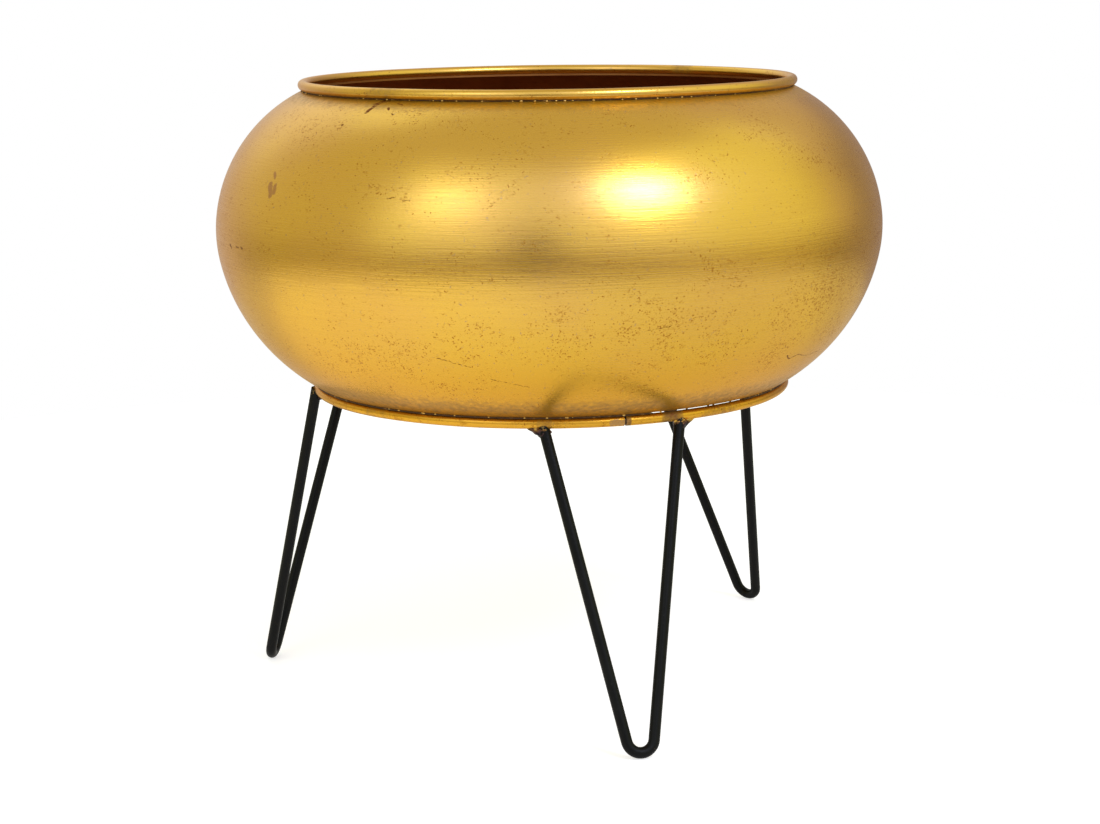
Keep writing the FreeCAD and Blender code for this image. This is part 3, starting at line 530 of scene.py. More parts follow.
def make_inside(name):
    # stained metal inside the bowl, which darkens as it mirrors itself
    nodes, position = material_nodes(name)
    height, outward, radius = turned_coordinates(nodes, position)
    streaks = brush_streaks(nodes, outward, radius, height, 4.0, 700.0)
    stain = nodes.noise(position, 22.0, 4.0, 0.6)
    tone = nodes.mix(nodes.ramp(stain, 0.35, 0.7), (0.44, 0.19, 0.055), (0.31, 0.11, 0.030))
    tone = nodes.mix(nodes.ramp(streaks, 0.5, 0.8, 0.0, 0.4), tone, (0.52, 0.25, 0.08))
    rough = nodes.ramp(stain, 0.3, 0.7, 0.52, 0.62)
    return nodes.finish(nodes.principled(tone, 1.0, rough, nodes.relief(streaks, 0.2, FINE_RELIEF)))


def make_black(name):
    # satin black paint over drawn rod, with scuffs and a little gold that strayed below the ring
    nodes, position = material_nodes(name)
    grain = nodes.noise(position, 1100.0, 3.0, 0.65)
    blotch = nodes.noise(position, 90.0, 3.0, 0.6)
    height = nodes.add("SeparateXYZ", {0: position}).outputs[2]
    foot = nodes.ramp(height, *FOOT_SCUFF_HEIGHTS, 0.0, 0.09)
    scuff = nodes.ramp(nodes.math("ADD", nodes.noise(position, 330.0, 4.0, 0.7), foot), 0.74, 0.79)
    top = nodes.ramp(nodes.math("SUBTRACT", height, RING_UNDERSIDE), *STRAY_HEIGHTS)
    stray = nodes.ramp(nodes.math("MULTIPLY", nodes.noise(position, 520.0, 3.0, 0.7), top), 0.50, 0.58)
    blotched = nodes.ramp(blotch, 0.3, 0.7)
    tone = nodes.mix(blotched, (0.0018, 0.0017, 0.0017), (0.0042, 0.0040, 0.0038))
    tone = nodes.mix(nodes.ramp(grain, 0.62, 0.74, 0.0, 0.6), tone, (0.022, 0.020, 0.018))
    tone = nodes.mix(scuff, tone, (0.26, 0.15, 0.07))
    tone = nodes.mix(stray, tone, (0.40, 0.27, 0.08))
    rough = nodes.ramp(blotch, 0.3, 0.7, 0.36, 0.46)
    more = {"Specular IOR Level": 0.15, **nodes.relief(grain, 0.35, FINE_RELIEF)}
    return nodes.finish(nodes.principled(tone, 0.0, rough, more))


def make_leg_weld(name):
    # weld metal: gold patina at the ring, heat-tinted brown and purple below, black at the rod
    nodes, position = material_nodes(name)
    height = nodes.add("SeparateXYZ", {0: position}).outputs[2]
    height = nodes.math("SUBTRACT", height, RING_UNDERSIDE)
    ripple = nodes.noise(position, 420.0, 3.0, 0.65)
    patch = nodes.noise(position, 260.0, 2.0, 0.5)
    level = nodes.math("MULTIPLY_ADD", nodes.math("SUBTRACT", patch, 0.5), WELD_PATCH, height)
    crest = nodes.ramp(ripple, 0.40, 0.62)
    brown = nodes.mix(crest, (0.045, 0.018, 0.012), (0.16, 0.075, 0.030))
    crest = nodes.ramp(ripple, 0.42, 0.60)
    violet = nodes.mix(crest, (0.016, 0.009, 0.012), (0.060, 0.030, 0.036))
    tone = nodes.mix(nodes.ramp(level, *WELD_BROWN_HEIGHTS), violet, brown)
    gilded = nodes.ramp(nodes.math("MULTIPLY_ADD", patch, GILDED_PATCH, height), *WELD_GILDED_HEIGHTS)
    tone = nodes.mix(gilded, tone, (0.66, 0.38, 0.07))
    painted = nodes.ramp(level, *WELD_BLACK_HEIGHTS)
    tone = nodes.mix(painted, tone, (0.005, 0.0046, 0.0045))
    metal = nodes.math("SUBTRACT", 0.85, nodes.math("MULTIPLY", painted, 0.85))
    return nodes.finish(nodes.principled(tone, metal, 0.36, nodes.relief(ripple, 0.6, WELD_RELIEF)))


def make_braze_with_crevice_shade(name):
    # braze run into a crevice and left dirty, with painted shade of the crevice in its dark brown
    nodes, position = material_nodes(name)
    braze_patches = nodes.noise(position, 380.0, 3.0, 0.65)
    # mostly dark brown as painted shade of the crevice, with paler patches of braze
    tone = nodes.mix(nodes.ramp(braze_patches, 0.52, 0.72), (0.085, 0.035, 0.008), (0.38, 0.20, 0.05))
    return nodes.finish(nodes.principled(tone, 0.3, 0.6, nodes.relief(braze_patches, 0.5, FINE_RELIEF)))


def make_spatter(name):
    # beads of braze that caught the gold
    nodes, position = material_nodes(name)
    patch = nodes.noise(position, 600.0, 2.0, 0.5)
    tone = nodes.mix(patch, (0.86, 0.62, 0.24), (0.70, 0.42, 0.09))
    return nodes.finish(nodes.principled(tone, 0.9, 0.28))


# The bowl

FLAT_STEPS = 12
CORNER_STEPS = 8
WALL_STEPS = 60
LOWER_BELLY_STEPS = 14
UPPER_BELLY_STEPS = 12
SEAM_STEPS = 3
SPINNING_ERROR = 0.10 * MM
# a dull film mixed with painted shade within these heights of the mouth ring and of the bottom,
# and how thick it lies there
MOUTH_FILM_AND_SHADE_REACH = (9.0 * MM, 3.0 * MM)
MOUTH_FILM_AND_SHADE = 0.42
FOOT_FILM_AND_SHADE_REACH = (13.0 * MM, 0.5 * MM)
FOOT_FILM_AND_SHADE = 0.55


def wall_points(centre, radius, first, last, count):
    angles = [first + (last - first) * step / count for step in range(count + 1)]
    return [(centre[0] + radius * cos_deg(angle), centre[1] + radius * sin_deg(angle)) for angle in angles]


BELLY_CENTRE = (BOWL_RADIUS - BELLY_ARC, BELLY_HEIGHT)
LOWER_CENTRE = (
    BELLY_CENTRE[0] + (BELLY_ARC - LOWER_ARC) * cos_deg(LOWER_BELLY_TURN),
    BELLY_CENTRE[1] - (BELLY_ARC - LOWER_ARC) * sin_deg(LOWER_BELLY_TURN),
)
UPPER_CENTRE = (
    BELLY_CENTRE[0] + (BELLY_ARC - UPPER_ARC) * cos_deg(UPPER_BELLY_TURN),
    BELLY_CENTRE[1] + (BELLY_ARC - UPPER_ARC) * sin_deg(UPPER_BELLY_TURN),
)
CORNER_HEIGHT = BOTTOM_HEIGHT + CORNER_ARC
CORNER_DROP = LOWER_CENTRE[1] - CORNER_HEIGHT
CORNER_RUN = math.sqrt((LOWER_ARC - CORNER_ARC) ** 2 - CORNER_DROP ** 2)
CORNER_CENTRE = (LOWER_CENTRE[0] + CORNER_RUN, CORNER_HEIGHT)
CORNER_TURN = math.degrees(math.atan2(-CORNER_DROP, CORNER_RUN))


def seam_turn(inset):
    return math.degrees(math.asin(SEAM_GAP / 2 / (BELLY_ARC - inset)))


def lower_section(inset):
    # from the middle of the bottom out and up to the belly, on the sheet's outer or inner face
    floor = BOTTOM_HEIGHT + inset
    points = [(CORNER_CENTRE[0] * step / FLAT_STEPS, floor) for step in range(FLAT_STEPS)]
    points += wall_points(CORNER_CENTRE, CORNER_ARC - inset, -90, CORNER_TURN, CORNER_STEPS)
    points += wall_points(LOWER_CENTRE, LOWER_ARC - inset, CORNER_TURN, -LOWER_BELLY_TURN, WALL_STEPS)[1:]
    top = -seam_turn(inset)
    points += wall_points(BELLY_CENTRE, BELLY_ARC - inset, -LOWER_BELLY_TURN, top, LOWER_BELLY_STEPS)[1:]
    return points


def upper_section(inset):
    # from the belly up to the lip
    radius = UPPER_ARC - inset
    low = seam_turn(inset)
    lip = math.degrees(math.acos((LIP_RADIUS - UPPER_CENTRE[0]) / radius))
    points = wall_points(BELLY_CENTRE, BELLY_ARC - inset, low, UPPER_BELLY_TURN, UPPER_BELLY_STEPS)
    points += wall_points(UPPER_CENTRE, radius, UPPER_BELLY_TURN, lip, WALL_STEPS)[1:]
    return points


def seam_section(inset):
    # the ground weld between the two halves
    top = seam_turn(inset)
    return wall_points(BELLY_CENTRE, BELLY_ARC - inset, -top, top, SEAM_STEPS)


def spinning_error(point):
    # the slight unevenness of spun sheet, which shows in its reflections
    wave = noise.noise(point * 16.0) + 0.5 * noise.noise(point * 34.0 + Vector((3.1, 7.7, 1.3)))
    return SPINNING_ERROR * wave


def lathe(name, outer, inner):
    # outer and inner faces turned about the upright axis and closed at both ends
    outline = outer + list(reversed(inner))
    vertices = []
    for radius, height in outline:
        for step in range(TURN_STEPS):
            point = around(radius, 360 * step / TURN_STEPS, height)
            out = Vector((point.x, point.y, 0)).normalized()
            vertices.append(point + out * spinning_error(point))
    hollow = outline[0][0] > 0
    item = new_object(name, vertices, band_faces(len(outline), TURN_STEPS, hollow))
    work = bmesh.new()
    work.from_mesh(item.data)
    bmesh.ops.remove_doubles(work, verts=work.verts, dist=1e-7)
    bmesh.ops.recalc_face_normals(work, faces=work.faces)
    work.to_mesh(item.data)
    work.free()
    item.data.shade_smooth()
    item.data.set_sharp_from_angle(angle=math.radians(SHARP_TURN))
    return item


def wear_and_shade_of(azimuth, height):
    # thickness of the marks, of the dull film and painted shade beside the rings, and no bare metal or
    # crack
    marks = 0.0
    for middle, level, reach, rise, thick in MARK_CLUSTERS:
        away = math.hypot(off_by(azimuth, middle) / reach, (height / MM - level) / rise)
        marks = max(marks, thick * (1 - blend_step(0.2, 1.2, away)))
    # painted shade, mixed with a dull film, under the mouth ring and just above the bottom
    at_mouth = blend_step(*MOUTH_FILM_AND_SHADE_REACH, MOUTH_RING_HEIGHT - height)
    at_foot = blend_step(*FOOT_FILM_AND_SHADE_REACH, height - BOTTOM_HEIGHT)
    return marks, max(MOUTH_FILM_AND_SHADE * at_mouth, FOOT_FILM_AND_SHADE * at_foot), 0.0, 0.0


def paint_wear_and_shade(item):
    points = [vertex.co for vertex in item.data.vertices]
    turns = [math.degrees(math.atan2(point.y, point.x)) for point in points]
    paint_points(item, "wear_and_shade", [wear_and_shade_of(turn, point.z) for turn, point in zip(turns, points)])


def paint_faces(item, outside, inside):
    # the inner face of the sheet and its edges have a finish of their own
    item.data.materials.append(outside)
    item.data.materials.append(inside)
    for face in item.data.polygons:
        centre = face.center
        outward = Vector((centre.x, centre.y, 0))
        if outward.length < LOWER_CENTRE[0]:
            away = Vector((0, 0, 1 if centre.z > BELLY_HEIGHT else -1))
        else:
            away = outward - outward.normalized() * LOWER_CENTRE[0]
            away.z = centre.z - BELLY_HEIGHT
        if face.normal.dot(away.normalized()) < 0.5:
            face.material_index = 1


# Welded rings and their beads

def wandering(seed, azimuth, cycles):
    # smooth noise that closes on itself round a ring
    return noise.noise(around(cycles, azimuth, seed))


def ring_steps(joint_azimuth):
    # azimuths round a ring, closer together at its joint
    steps = []
    coarse = 360 / RING_STEPS
    for step in range(RING_STEPS):
        azimuth = joint_azimuth + coarse * step
        fine = 8 if off_by(azimuth + coarse / 2, joint_azimuth) < 4 else 1
        steps += [azimuth + coarse * part / fine for part in range(fine)]
    return steps


def ring_tube(name, radius, height, joint_azimuth, stains, marked, seat, open_joint):
    # bent wire, a little uneven, darkened and dulled by painted shade where it seats on the bowl,
    # with its butt joint dressed flat on the outside and perhaps a crack left in it
    vertices, wear_and_shade = [], []
    steps = ring_steps(joint_azimuth)
    for azimuth in steps:
        lift = RING_SWAY * wandering(4.2, azimuth, 2.0)
        swell = 1 + RING_SWELL_SHARE * wandering(9.1, azimuth, 9.0)
        off = (azimuth - joint_azimuth + 180) % 360 - 180
        dressed = 1 - blend_step(*DRESSED_REACH, abs(off + DRESSED_MIDDLE))
        crack = open_joint * (1 - blend_step(*CRACK_REACH, abs(off)))
        dullness = 0.0
        for middle, reach, thick in stains:
            dullness = max(dullness, thick * (1 - blend_step(0.5, 1.1, off_by(azimuth, middle) / reach)))
        for side in range(RING_SIDES):
            angle = 360 * side / RING_SIDES
            reach = WIRE_RADIUS * swell - CRACK_DEPTH * crack
            out = min(reach * cos_deg(angle), WIRE_RADIUS * (1 - DRESSED_DEPTH_SHARE * dressed))
            up = reach * sin_deg(angle)
            vertices.append(around(radius + out, azimuth, height + up + lift))
            bare = dressed * (1 - blend_step(30, 60, off_by(angle, DRESSED_TURN)))
            # stains, and painted shade where the wire seats on the bowl
            stain_and_shade = max(dullness, SEAT_SHADE * (1 - blend_step(*SEAT_SHADE_REACH, off_by(angle, seat))))
            wear_and_shade.append((marked, stain_and_shade, bare, crack))
    item = new_object(name, vertices, band_faces(len(steps), RING_SIDES, True))
    paint_points(item, "wear_and_shade", wear_and_shade)
    return item


def bead_run(name, radius, height, thick, uneven, first, last, seed):
    # braze run along a crevice between two azimuths, thicker and thinner by turns
    closed = last - first >= 360
    count = round((last - first) / BEAD_STEP)
    rows = count if closed else count + 1
    vertices = []
    for step in range(rows):
        azimuth = first + (last - first) * step / count
        wave = wandering(seed, azimuth, 34.0) + 0.6 * wandering(seed + 5, azimuth, 90.0)
        end = 1.0 if closed else blend_step(0, BEAD_END, min(azimuth - first, last - azimuth))
        size = thick * (1 + uneven * wave) * (0.15 + 0.85 * end)
        sway = 0.25 * thick * wandering(seed + 9, azimuth, 50.0)
        for side in range(BEAD_SIDES):
            angle = 360 * side / BEAD_SIDES
            out = radius + sway + size * cos_deg(angle)
            vertices.append(around(out, azimuth, height + size * sin_deg(angle)))
    faces = band_faces(rows, BEAD_SIDES, closed)
    if not closed:
        faces.append(tuple(range(BEAD_SIDES)))
        faces.append(tuple(count * BEAD_SIDES + side for side in reversed(range(BEAD_SIDES))))
    return new_object(name, vertices, faces)


def unit_ball():
    work = bmesh.new()
    bmesh.ops.create_icosphere(work, subdivisions=2, radius=1.0)
    vertices = [vertex.co.copy() for vertex in work.verts]
    faces = [tuple(vertex.index for vertex in face.verts) for face in work.faces]
    work.free()
    return vertices, faces


def ball_mesh(name, balls):
    # one mesh of separate balls: centre, radius and, where it isn't round, a shape
    points, corners = unit_ball()
    vertices, faces = [], []
    for centre, radius, *shape in balls:
        base = len(vertices)
        for point in points:
            vertices.append(centre + (shape[0] @ point if shape else point) * radius)
        faces += [tuple(base + index for index in face) for face in corners]
    return new_mesh(name, vertices, faces)


def balls_along(points, radii, spacing=0.45):
    # overlapping balls along a polyline, their radii blended from point to point
    balls = []
    for (first, second), (small, large) in zip(zip(points, points[1:]), zip(radii, radii[1:])):
        count = max(1, round((second - first).length / (spacing * min(small, large))))
        for step in range(count + 1):
            share = step / count
            balls.append((first.lerp(second, share), small + (large - small) * share))
    return balls


def ripple_skin(item, depth, scale):
    for vertex in item.data.vertices:
        vertex.co += vertex.normal * depth * noise.noise(vertex.co * scale)


def weld_skin(name, balls, smoothing):
    # the union of overlapping balls as one rippled skin
    rough = add_item(name + "_rough", ball_mesh(name + "_balls", balls))
    union = rough.modifiers.new("union", "REMESH")
    union.mode = "VOXEL"
    union.voxel_size = WELD_VOXEL
    ease = rough.modifiers.new("ease", "SMOOTH")
    ease.factor = 0.5
    ease.iterations = smoothing
    skin = bpy.data.meshes.new_from_object(rough.evaluated_get(bpy.context.evaluated_depsgraph_get()))
    bpy.data.objects.remove(rough)
    skin.name = name
    skin.shade_smooth()
    item = add_item(name, skin)
    ripple_skin(item, WELD_RIPPLE, WELD_RIPPLE_SCALE)
    return item


def bent(first, middle, last):
    # a curve from first to last, drawn toward the middle point
    points = []
    for step in range(WEB_STEPS + 1):
        share = step / WEB_STEPS
        points.append(first * (1 - share) ** 2 + middle * 2 * share * (1 - share) + last * share ** 2)
    return points


def weld_spot(leg, side):
    # turns millimetres along the ring, down the rod and outward into places near a rod's top
    azimuth, spread, top_offset, foot = LEGS[leg]
    angle = azimuth + side * spread
    top = around(FOOT_RING_RADIUS + top_offset, angle, RING_UNDERSIDE)
    along = Vector((-side * sin_deg(angle), side * cos_deg(angle), 0))
    outward = around(1, angle, 0)
    centre = around(foot, azimuth, LEG_BEND_RADIUS)
    down = (centre + along * LEG_BEND_RADIUS - top).normalized()

    def at(reach, drop, out=0.0):
        return top + along * reach * MM + down * drop * MM + outward * out * MM

    return at


def web_weld(name, leg, side, runs, collar, spatter=()):
    # nested runs of weld from the ring down the flank of a rod, and a collar at its top
    at = weld_spot(leg, side)
    balls = []
    for reach, drop, out, thick in runs:
        bend = at(reach * 0.45, 0.15 * drop, out)
        points = bent(at(reach, WEB_START, out), bend, at(WEB_END, drop, out * 0.8))
        fullness = [math.sin(math.pi * step / WEB_STEPS) ** 0.7 for step in range(WEB_STEPS + 1)]
        balls += balls_along(points, [thick * MM * (0.55 + 0.55 * full) for full in fullness])
    for turn_from, turn_to, drop, thick in collar:
        points, radii = [], []
        for step in range(WEB_STEPS + 1):
            turn = turn_from + (turn_to - turn_from) * step / WEB_STEPS
            low = drop + 0.25 * math.sin(3.1 * step)
            points.append(at(COLLAR_RADIUS * cos_deg(turn), low, COLLAR_RADIUS * sin_deg(turn)))
            radii.append(thick * MM * (1 + 0.18 * math.cos(2.3 * step)))
        balls += balls_along(points, radii)
    for reach, drop, out, size in spatter:
        balls.append((at(reach, drop, out), size * MM))
    return weld_skin(name, balls, WEB_SMOOTHING)


def lump_weld(name, leg, side):
    # a lump on the inner side of a rod's top, out of sight from outside
    at = weld_spot(leg, side)
    balls = []
    for row, (drop, reach, thick) in enumerate(LUMP_ROWS):
        points, radii = [], []
        for step in range(LUMP_STEPS + 1):
            share = step / (LUMP_STEPS / 2) - 1
            points.append(at(reach * share, drop, -LUMP_BACK - LUMP_BULGE * (1 - share * share)))
            radii.append(thick * MM * (1 + 0.15 * math.cos(2.9 * step + row)))
        balls += balls_along(points, radii)
    return weld_skin(name, balls, LUMP_SMOOTHING)


def droplets(name, spots):
    # small beads of braze, drawn out a little along the ring: azimuth, radius, height and size
    shape = Matrix.Diagonal(SPATTER_SHAPE_SHARES)
    balls = []
    for azimuth, radius, height, size in spots:
        turn = Matrix.Rotation(math.radians(azimuth), 3, "Z")
        balls.append((around(radius, azimuth, height), size, turn @ shape))
    item = add_item(name, ball_mesh(name, balls))
    ripple_skin(item, BEAD_RIPPLE, BEAD_RIPPLE_SCALE)
    return item


def mouth_crevice(thick):
    # where a bead of that size rests between the ring and the shoulder
    turn = math.degrees(math.acos((MOUTH_RING_RADIUS - UPPER_CENTRE[0]) / (UPPER_ARC + WIRE_RADIUS)))
    along = math.sqrt(4 * WIRE_RADIUS * thick)
    radius = UPPER_CENTRE[0] + (UPPER_ARC + thick) * cos_deg(turn) + along * sin_deg(turn)
    height = UPPER_CENTRE[1] + (UPPER_ARC + thick) * sin_deg(turn) - along * cos_deg(turn)
    return radius, height


# The studio

FLOOR_RADIUS = 0.76
FLOOR_STEPS = 96
FLOOR_DROP = 0.2 * MM
FLOOR_SEEN = 0.65
# what the metal mirrors of the floor, from left to right, fading behind the planter
FLOOR_GLOW = 0.53
FLOOR_GLOW_FAR = 0.21
FLOOR_GLOW_ACROSS = (-0.42, 0.30)
FLOOR_GLOW_BEHIND = (0.03, 0.22)
FLOOR_GLOW_BEHIND_SHARE = 0.3
FLOOR_WARM_ASIDE = (0.10, 0.38)
WORLD_LIGHT = 0.55
ROOM_RADIUS = 3.0
ROOM_LOWEST = -60.0
ROOM_ROWS = 50
ROOM_COLUMNS = 120
ROOM_TONE = 0.60
# patches of the room: brightness, how much of it is laid on, middle azimuth, half width, lowest and highest
# elevation, softness of the edge
SHOULDER_PATCH = (1.25, 1.0, -149, 23, 48, 60, 6)
LEFT_PANEL = (1.06, 1.0, -31, 30, 3, 56, 6)
RIGHT_CORNER = (1.0, 1.0, 114, 12, 33, 56, 8)
LEFT_EDGE = (1.15, 0.95, -152, 20, 18, 50, 12)
LEFT_LOW = (0.62, 1.0, -160, 30, -60, 6, 8)
RIGHT_BACK = (0.32, 1.0, 147, 24, -60, 22, 9)
# two whose brightness changes across them
LOW_WALL = (0, 138, -62, 0, 6)
LOW_WALL_TONE = 0.32
RIGHT_PANEL_TONE = 1.04
# the dark upright shape between the two highlights
FIGURE_AT = (-5, 2)
FIGURE_HALF_SIZE = (8, 21)
FIGURE_TONE = 0.14
# softboxes: azimuth, elevation, width, height, radiance
SOFTBOXES = {
    "softbox_right": (-54.0, 38.4, 0.38, 0.38, 13.0),
    "softbox_left": (-125.3, 33.2, 0.46, 0.50, 1.35),
}
SOFTBOX_DISTANCE = 1.5
LAMP_TINT = (0.91, 0.97, 1.45)


def add_stage():
    # a white table top that keeps the object's shadow
    edge = [around(FLOOR_RADIUS, 360 * step / FLOOR_STEPS, -FLOOR_DROP) for step in range(FLOOR_STEPS)]
    floor = new_object("stage_floor", edge, [tuple(range(FLOOR_STEPS))])
    nodes, position = material_nodes("floor_paint")
    path = nodes.add("LightPath")
    seen = nodes.math("MULTIPLY", path.outputs["Is Camera Ray"], FLOOR_SEEN)
    mirrored = nodes.math("MAXIMUM", path.outputs["Is Glossy Ray"], path.outputs["Is Transmission Ray"])
    parts = nodes.add("SeparateXYZ", {0: position})
    across = parts.outputs[0]
    glow_share = nodes.ramp(across, *FLOOR_GLOW_ACROSS, FLOOR_GLOW, FLOOR_GLOW_FAR)
    behind = nodes.ramp(parts.outputs[1], *FLOOR_GLOW_BEHIND, 1.0, FLOOR_GLOW_BEHIND_SHARE)
    glow_share = nodes.math("MULTIPLY", glow_share, behind)
    strength = nodes.math("MULTIPLY_ADD", mirrored, glow_share, seen)
    # the glow that the metal mirrors is warmer to both sides
    aside = nodes.ramp(nodes.math("ABSOLUTE", across), *FLOOR_WARM_ASIDE)
    aside = nodes.math("MULTIPLY", aside, mirrored)
    glow_colour = nodes.mix(aside, (1, 1, 1), (1.0, 0.97, 0.45))
    matt = nodes.add("BsdfDiffuse", {"Color": (0.65, 0.65, 0.65)})
    glow = nodes.add("Emission", {"Color": glow_colour, "Strength": strength})
    floor.data.materials.append(nodes.finish(nodes.add("AddShader", {0: matt, 1: glow})))


def zone(azimuth, elevation, middle, half_width, low, high, edge):
    # 1 inside a patch of the room and 0 outside it, with a soft edge
    inside = 1 - blend_step(half_width - edge, half_width + edge, off_by(azimuth, middle))
    inside *= blend_step(low - edge, low + edge, elevation)
    return inside * (1 - blend_step(high - edge, high + edge, elevation))


def room_tone(azimuth, elevation):
    # brightness of the room in a direction, 0 toward the camera and positive to its right
    tone = ROOM_TONE + 0.06 * blend_step(-60, -120, azimuth) * blend_step(70, 20, elevation)
    low_wall = LOW_WALL_TONE + 0.12 * blend_step(-30, -70, azimuth) + 0.14 * blend_step(20, 60, azimuth)
    low_wall -= 0.18 * blend_step(85, 115, azimuth)
    panel_low = -1 + 4 * blend_step(60, 20, azimuth)
    panel_top = 61 - 15 * blend_step(75, 125, azimuth) - 11 * blend_step(30, 0, azimuth)
    right_panel = RIGHT_PANEL_TONE - 0.38 * blend_step(88, 118, azimuth)
    right_panel -= 0.05 * blend_step(30, 15, elevation)
    patches = (
        SHOULDER_PATCH,
        (low_wall, 1.0, *LOW_WALL),
        LEFT_PANEL,
        (right_panel, 1.0, 60, 59, panel_low, panel_top, 6),
        RIGHT_CORNER,
        LEFT_EDGE,
        LEFT_LOW,
        RIGHT_BACK,
    )
    for value, share, *patch in patches:
        tone += (value - tone) * share * zone(azimuth, elevation, *patch)
    across = off_by(azimuth, FIGURE_AT[0]) / FIGURE_HALF_SIZE[0]
    upward = (elevation - FIGURE_AT[1]) / FIGURE_HALF_SIZE[1]
    figure = 1 - blend_step(0.5, 1.3, math.hypot(across, upward))
    return tone + (FIGURE_TONE - tone) * figure


def room_colour(azimuth, elevation):
    # warm where the room is dim, cool where it is bright, and yellowish walls at both sides
    tone = room_tone(azimuth, elevation)
    side = off_by(azimuth, 0)
    green = 0.90 + 0.18 * blend_step(0.35, 1.1, tone)
    level = tone * (1 - 0.3 * (1 - green))
    walls = blend_step(42, 66, side) * (1 - blend_step(105, 130, side))
    walls *= 1 - blend_step(45, 70, elevation)
    ceiling = blend_step(50, 72, elevation)
    return (level / green, level, tone * (1 - 0.45 * walls) * (1 - 0.3 * ceiling), 1)


def add_room():
    # the studio walls, seen by the metal and not by the camera
    vertices, tones = [], []
    for row in range(ROOM_ROWS + 1):
        elevation = ROOM_LOWEST + (90 - ROOM_LOWEST) * row / ROOM_ROWS
        for column in range(ROOM_COLUMNS):
            azimuth = 360 * column / ROOM_COLUMNS
            level = BELLY_HEIGHT + ROOM_RADIUS * sin_deg(elevation)
            vertices.append(around(ROOM_RADIUS * cos_deg(elevation), azimuth, level))
            tones.append(room_colour((azimuth + 90 + 180) % 360 - 180, elevation))
    room = new_object("stage_room", vertices, band_faces(ROOM_ROWS + 1, ROOM_COLUMNS, False))
    paint_points(room, "tone", tones)
    nodes = Nodes(bpy.data.materials.new("room_paint"))
    tone = nodes.add("Attribute", attribute_name="tone").outputs["Color"]
    room.data.materials.append(nodes.finish(nodes.add("Emission", {"Color": tone, "Strength": 1.0})))
    room.visible_camera = False
    room.visible_shadow = False


def add_softbox(name, azimuth, elevation, width, height, radiance):
    lamp = bpy.data.lights.new(name, "AREA")
    lamp.shape = "RECTANGLE"
    lamp.size = width
    lamp.size_y = height
    lamp.energy = radiance * math.pi * width * height
    lamp.color = LAMP_TINT
    item = add_item(name, lamp)
    toward = around(cos_deg(elevation), azimuth, sin_deg(elevation))
    item.location = Vector((0, 0, BELLY_HEIGHT)) + toward * SOFTBOX_DISTANCE
    item.rotation_euler = toward.to_track_quat("Z", "Y").to_euler()


def light_scene():
    # even light all round, which the camera and the metal see as plain white
    nodes = Nodes(bpy.data.worlds.new("studio"))
    path = nodes.add("LightPath")
    seen = nodes.math("MAXIMUM", path.outputs["Is Camera Ray"], path.outputs["Is Glossy Ray"])
    seen = nodes.math("MAXIMUM", seen, path.outputs["Is Transmission Ray"])
    soft = nodes.add("Background", {"Color": (1, 1, 1), "Strength": WORLD_LIGHT})
    white = nodes.add("Background", {"Color": (1, 1, 1), "Strength": 1.0})
    mixed = nodes.add("MixShader", {0: seen, 1: soft, 2: white})
    bpy.context.scene.world = nodes.finish(mixed, "OutputWorld")
    for name, softbox in SOFTBOXES.items():
        add_softbox(name, *softbox)


def add_camera():
    pitch, yaw, roll = (math.radians(angle) for angle in (CAMERA_PITCH, CAMERA_YAW, CAMERA_ROLL))
    forward = Vector((math.sin(yaw) * math.cos(pitch), math.cos(yaw) * math.cos(pitch), math.sin(pitch)))
    level = Vector((math.cos(yaw), -math.sin(yaw), 0))
    upright = level.cross(forward)
    right = level * math.cos(roll) + upright * math.sin(roll)
    up = upright * math.cos(roll) - level * math.sin(roll)
    data = bpy.data.cameras.new("camera")
    data.sensor_width = SENSOR_WIDTH
    data.lens = FOCAL_PIXELS / PHOTO_WIDTH * SENSOR_WIDTH
    data.clip_end = 20.0
    item = add_item("camera", data)
    turn = Matrix((right, up, -forward)).transposed().to_4x4()
    item.matrix_world = Matrix.Translation((0, -CAMERA_DISTANCE, CAMERA_HEIGHT)) @ turn
    bpy.context.scene.camera = item


# The pieces

def dress(node, material):
    # a solid that is shown as the frame has it
    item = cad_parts[node]
    item.data.materials.clear()
    item.data.materials.append(material)
    item.data.shade_smooth()


def place(item, slot, *nodes, material=None):
    # a piece of the scene, shown in place of those nodes
    if material:
        item.data.materials.append(material)
    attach(item, "root")
    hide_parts(*nodes)


def build_bowl():
    outside = make_gold("bowl_gold", 1.0, 0.72, 0.27, scratched=True)
    inside = make_inside("bowl_inside")
    sheets = (
        ("bowl_lower_sheet", lower_section, "bowl_lower_shell"),
        ("bowl_upper_sheet", upper_section, "bowl_upper_shell"),
        ("bowl_seam_band", seam_section, "bowl_seam_weld"),
    )
    for name, section, node in sheets:
        sheet = lathe(name, section(0), section(SHEET))
        paint_wear_and_shade(sheet)
        paint_faces(sheet, outside, inside)
        place(sheet, "bowl_gold", node)


def build_rings():
    finish = make_gold("ring_gold", 0.3, 0.8, 0.29, wear=0.45)
    mouth = ring_tube(
        "mouth_ring_wire", MOUTH_RING_RADIUS, MOUTH_RING_HEIGHT, MOUTH_WELD_AZIMUTH, MOUTH_STAINS,
        marked=0.01, seat=MOUTH_SEAT_TURN, open_joint=0.0,
    )
    place(mouth, "ring_gold", "mouth_ring", "mouth_ring_weld", material=finish)
    foot = ring_tube(
        "foot_ring_wire", FOOT_RING_RADIUS, FOOT_RING_HEIGHT, FOOT_WELD_AZIMUTH, FOOT_STAINS,
        marked=0.12, seat=FOOT_SEAT_TURN, open_joint=1.0,
    )
    place(foot, "ring_gold", "foot_ring", "foot_ring_weld", material=finish)


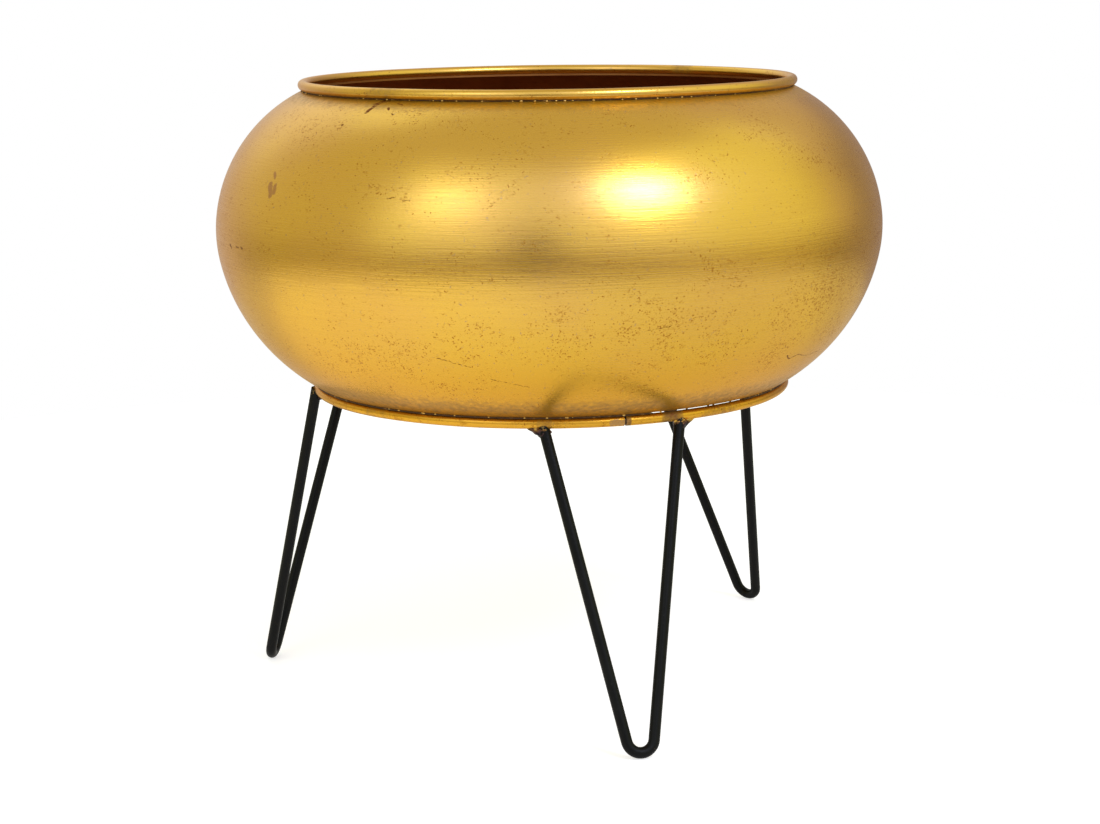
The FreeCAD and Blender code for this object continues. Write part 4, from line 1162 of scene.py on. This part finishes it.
def build_braze_runs():
    # a closed run under the mouth ring, and one over the foot ring that leaves a stretch open
    finish = make_braze_with_crevice_shade("braze")
    radius, height = mouth_crevice(MOUTH_BEAD)
    mouth = bead_run(
        "mouth_braze_run", radius, height, MOUTH_BEAD, MOUTH_BEAD_UNEVEN_SHARE, 0, 360, seed=2.0
    )
    place(mouth, "braze", "mouth_ring_braze", material=finish)
    foot = bead_run(
        "foot_braze_run", FOOT_RING_RADIUS + FOOT_BEAD_OUT, BOTTOM_HEIGHT - FOOT_BEAD_DROP, FOOT_BEAD,
        FOOT_BEAD_UNEVEN_SHARE, OPEN_FROM + OPEN_TURN, OPEN_FROM + 360, seed=6.0,
    )
    place(foot, "braze", "foot_ring_braze", material=finish)
    dress("foot_ring_tacks", finish)


def build_spatter():
    # the beads that show, and smaller ones strewn along both crevices
    finish = make_spatter("braze_spatter")
    radius, height = mouth_crevice(MOUTH_SPATTER)
    spots = [(azimuth, radius, height, size * MM) for azimuth, size in MOUTH_BEADS]
    for number in range(MOUTH_SPATTER_COUNT):
        azimuth = random.uniform(0, 360)
        spots.append((azimuth, radius, height, random.uniform(*MOUTH_SPATTER_SIZES)))
    place(droplets("mouth_spatter", spots), "braze", material=finish)

    height = BOTTOM_HEIGHT - FOOT_SPATTER_DROP
    radius = FOOT_RING_RADIUS + FOOT_SPATTER_OUT
    spots = [(azimuth, radius, height, size * MM) for azimuth, size in FOOT_BEADS]
    for number in range(FOOT_SPATTER_COUNT):
        first = OPEN_FROM + OPEN_TURN + FOOT_SPATTER_CLEAR
        azimuth = random.uniform(first, OPEN_FROM + 360 - FOOT_SPATTER_CLEAR)
        size = random.uniform(*FOOT_SPATTER_SIZES)
        spots.append((azimuth, FOOT_RING_RADIUS + FOOT_STREWN_OUT, height, size))
    place(droplets("foot_spatter", spots), "braze", material=finish)


def build_leg_welds():
    # webs at the front leg, whose welds show, and plain lumps at the other two
    finish = make_leg_weld("leg_weld")
    left = web_weld("front_weld_left", "front", -1, LEFT_WEB_RUNS, LEFT_WEB_COLLAR, LEFT_WEB_SPATTER)
    right = web_weld("front_weld_right", "front", 1, RIGHT_WEB_RUNS, RIGHT_WEB_COLLAR, RIGHT_WEB_SPATTER)
    welds = {"front": [left, right]}
    for leg in ("right", "left"):
        welds[leg] = [lump_weld(f"{leg}_weld_{number}", leg, side) for number, side in ((1, -1), (2, 1))]
    for leg, pieces in welds.items():
        for piece in pieces:
            place(piece, "leg_weld", f"{leg}_leg_welds", material=finish)


def dress_legs():
    black = make_black("black_rod")
    for leg in LEGS:
        dress(f"{leg}_leg", black)


random.seed(7)
build_bowl()
build_rings()
build_braze_runs()
build_spatter()
build_leg_welds()
dress_legs()
add_stage()
add_room()
light_scene()
add_camera()
bpy.context.scene.view_settings.view_transform = "Standard"
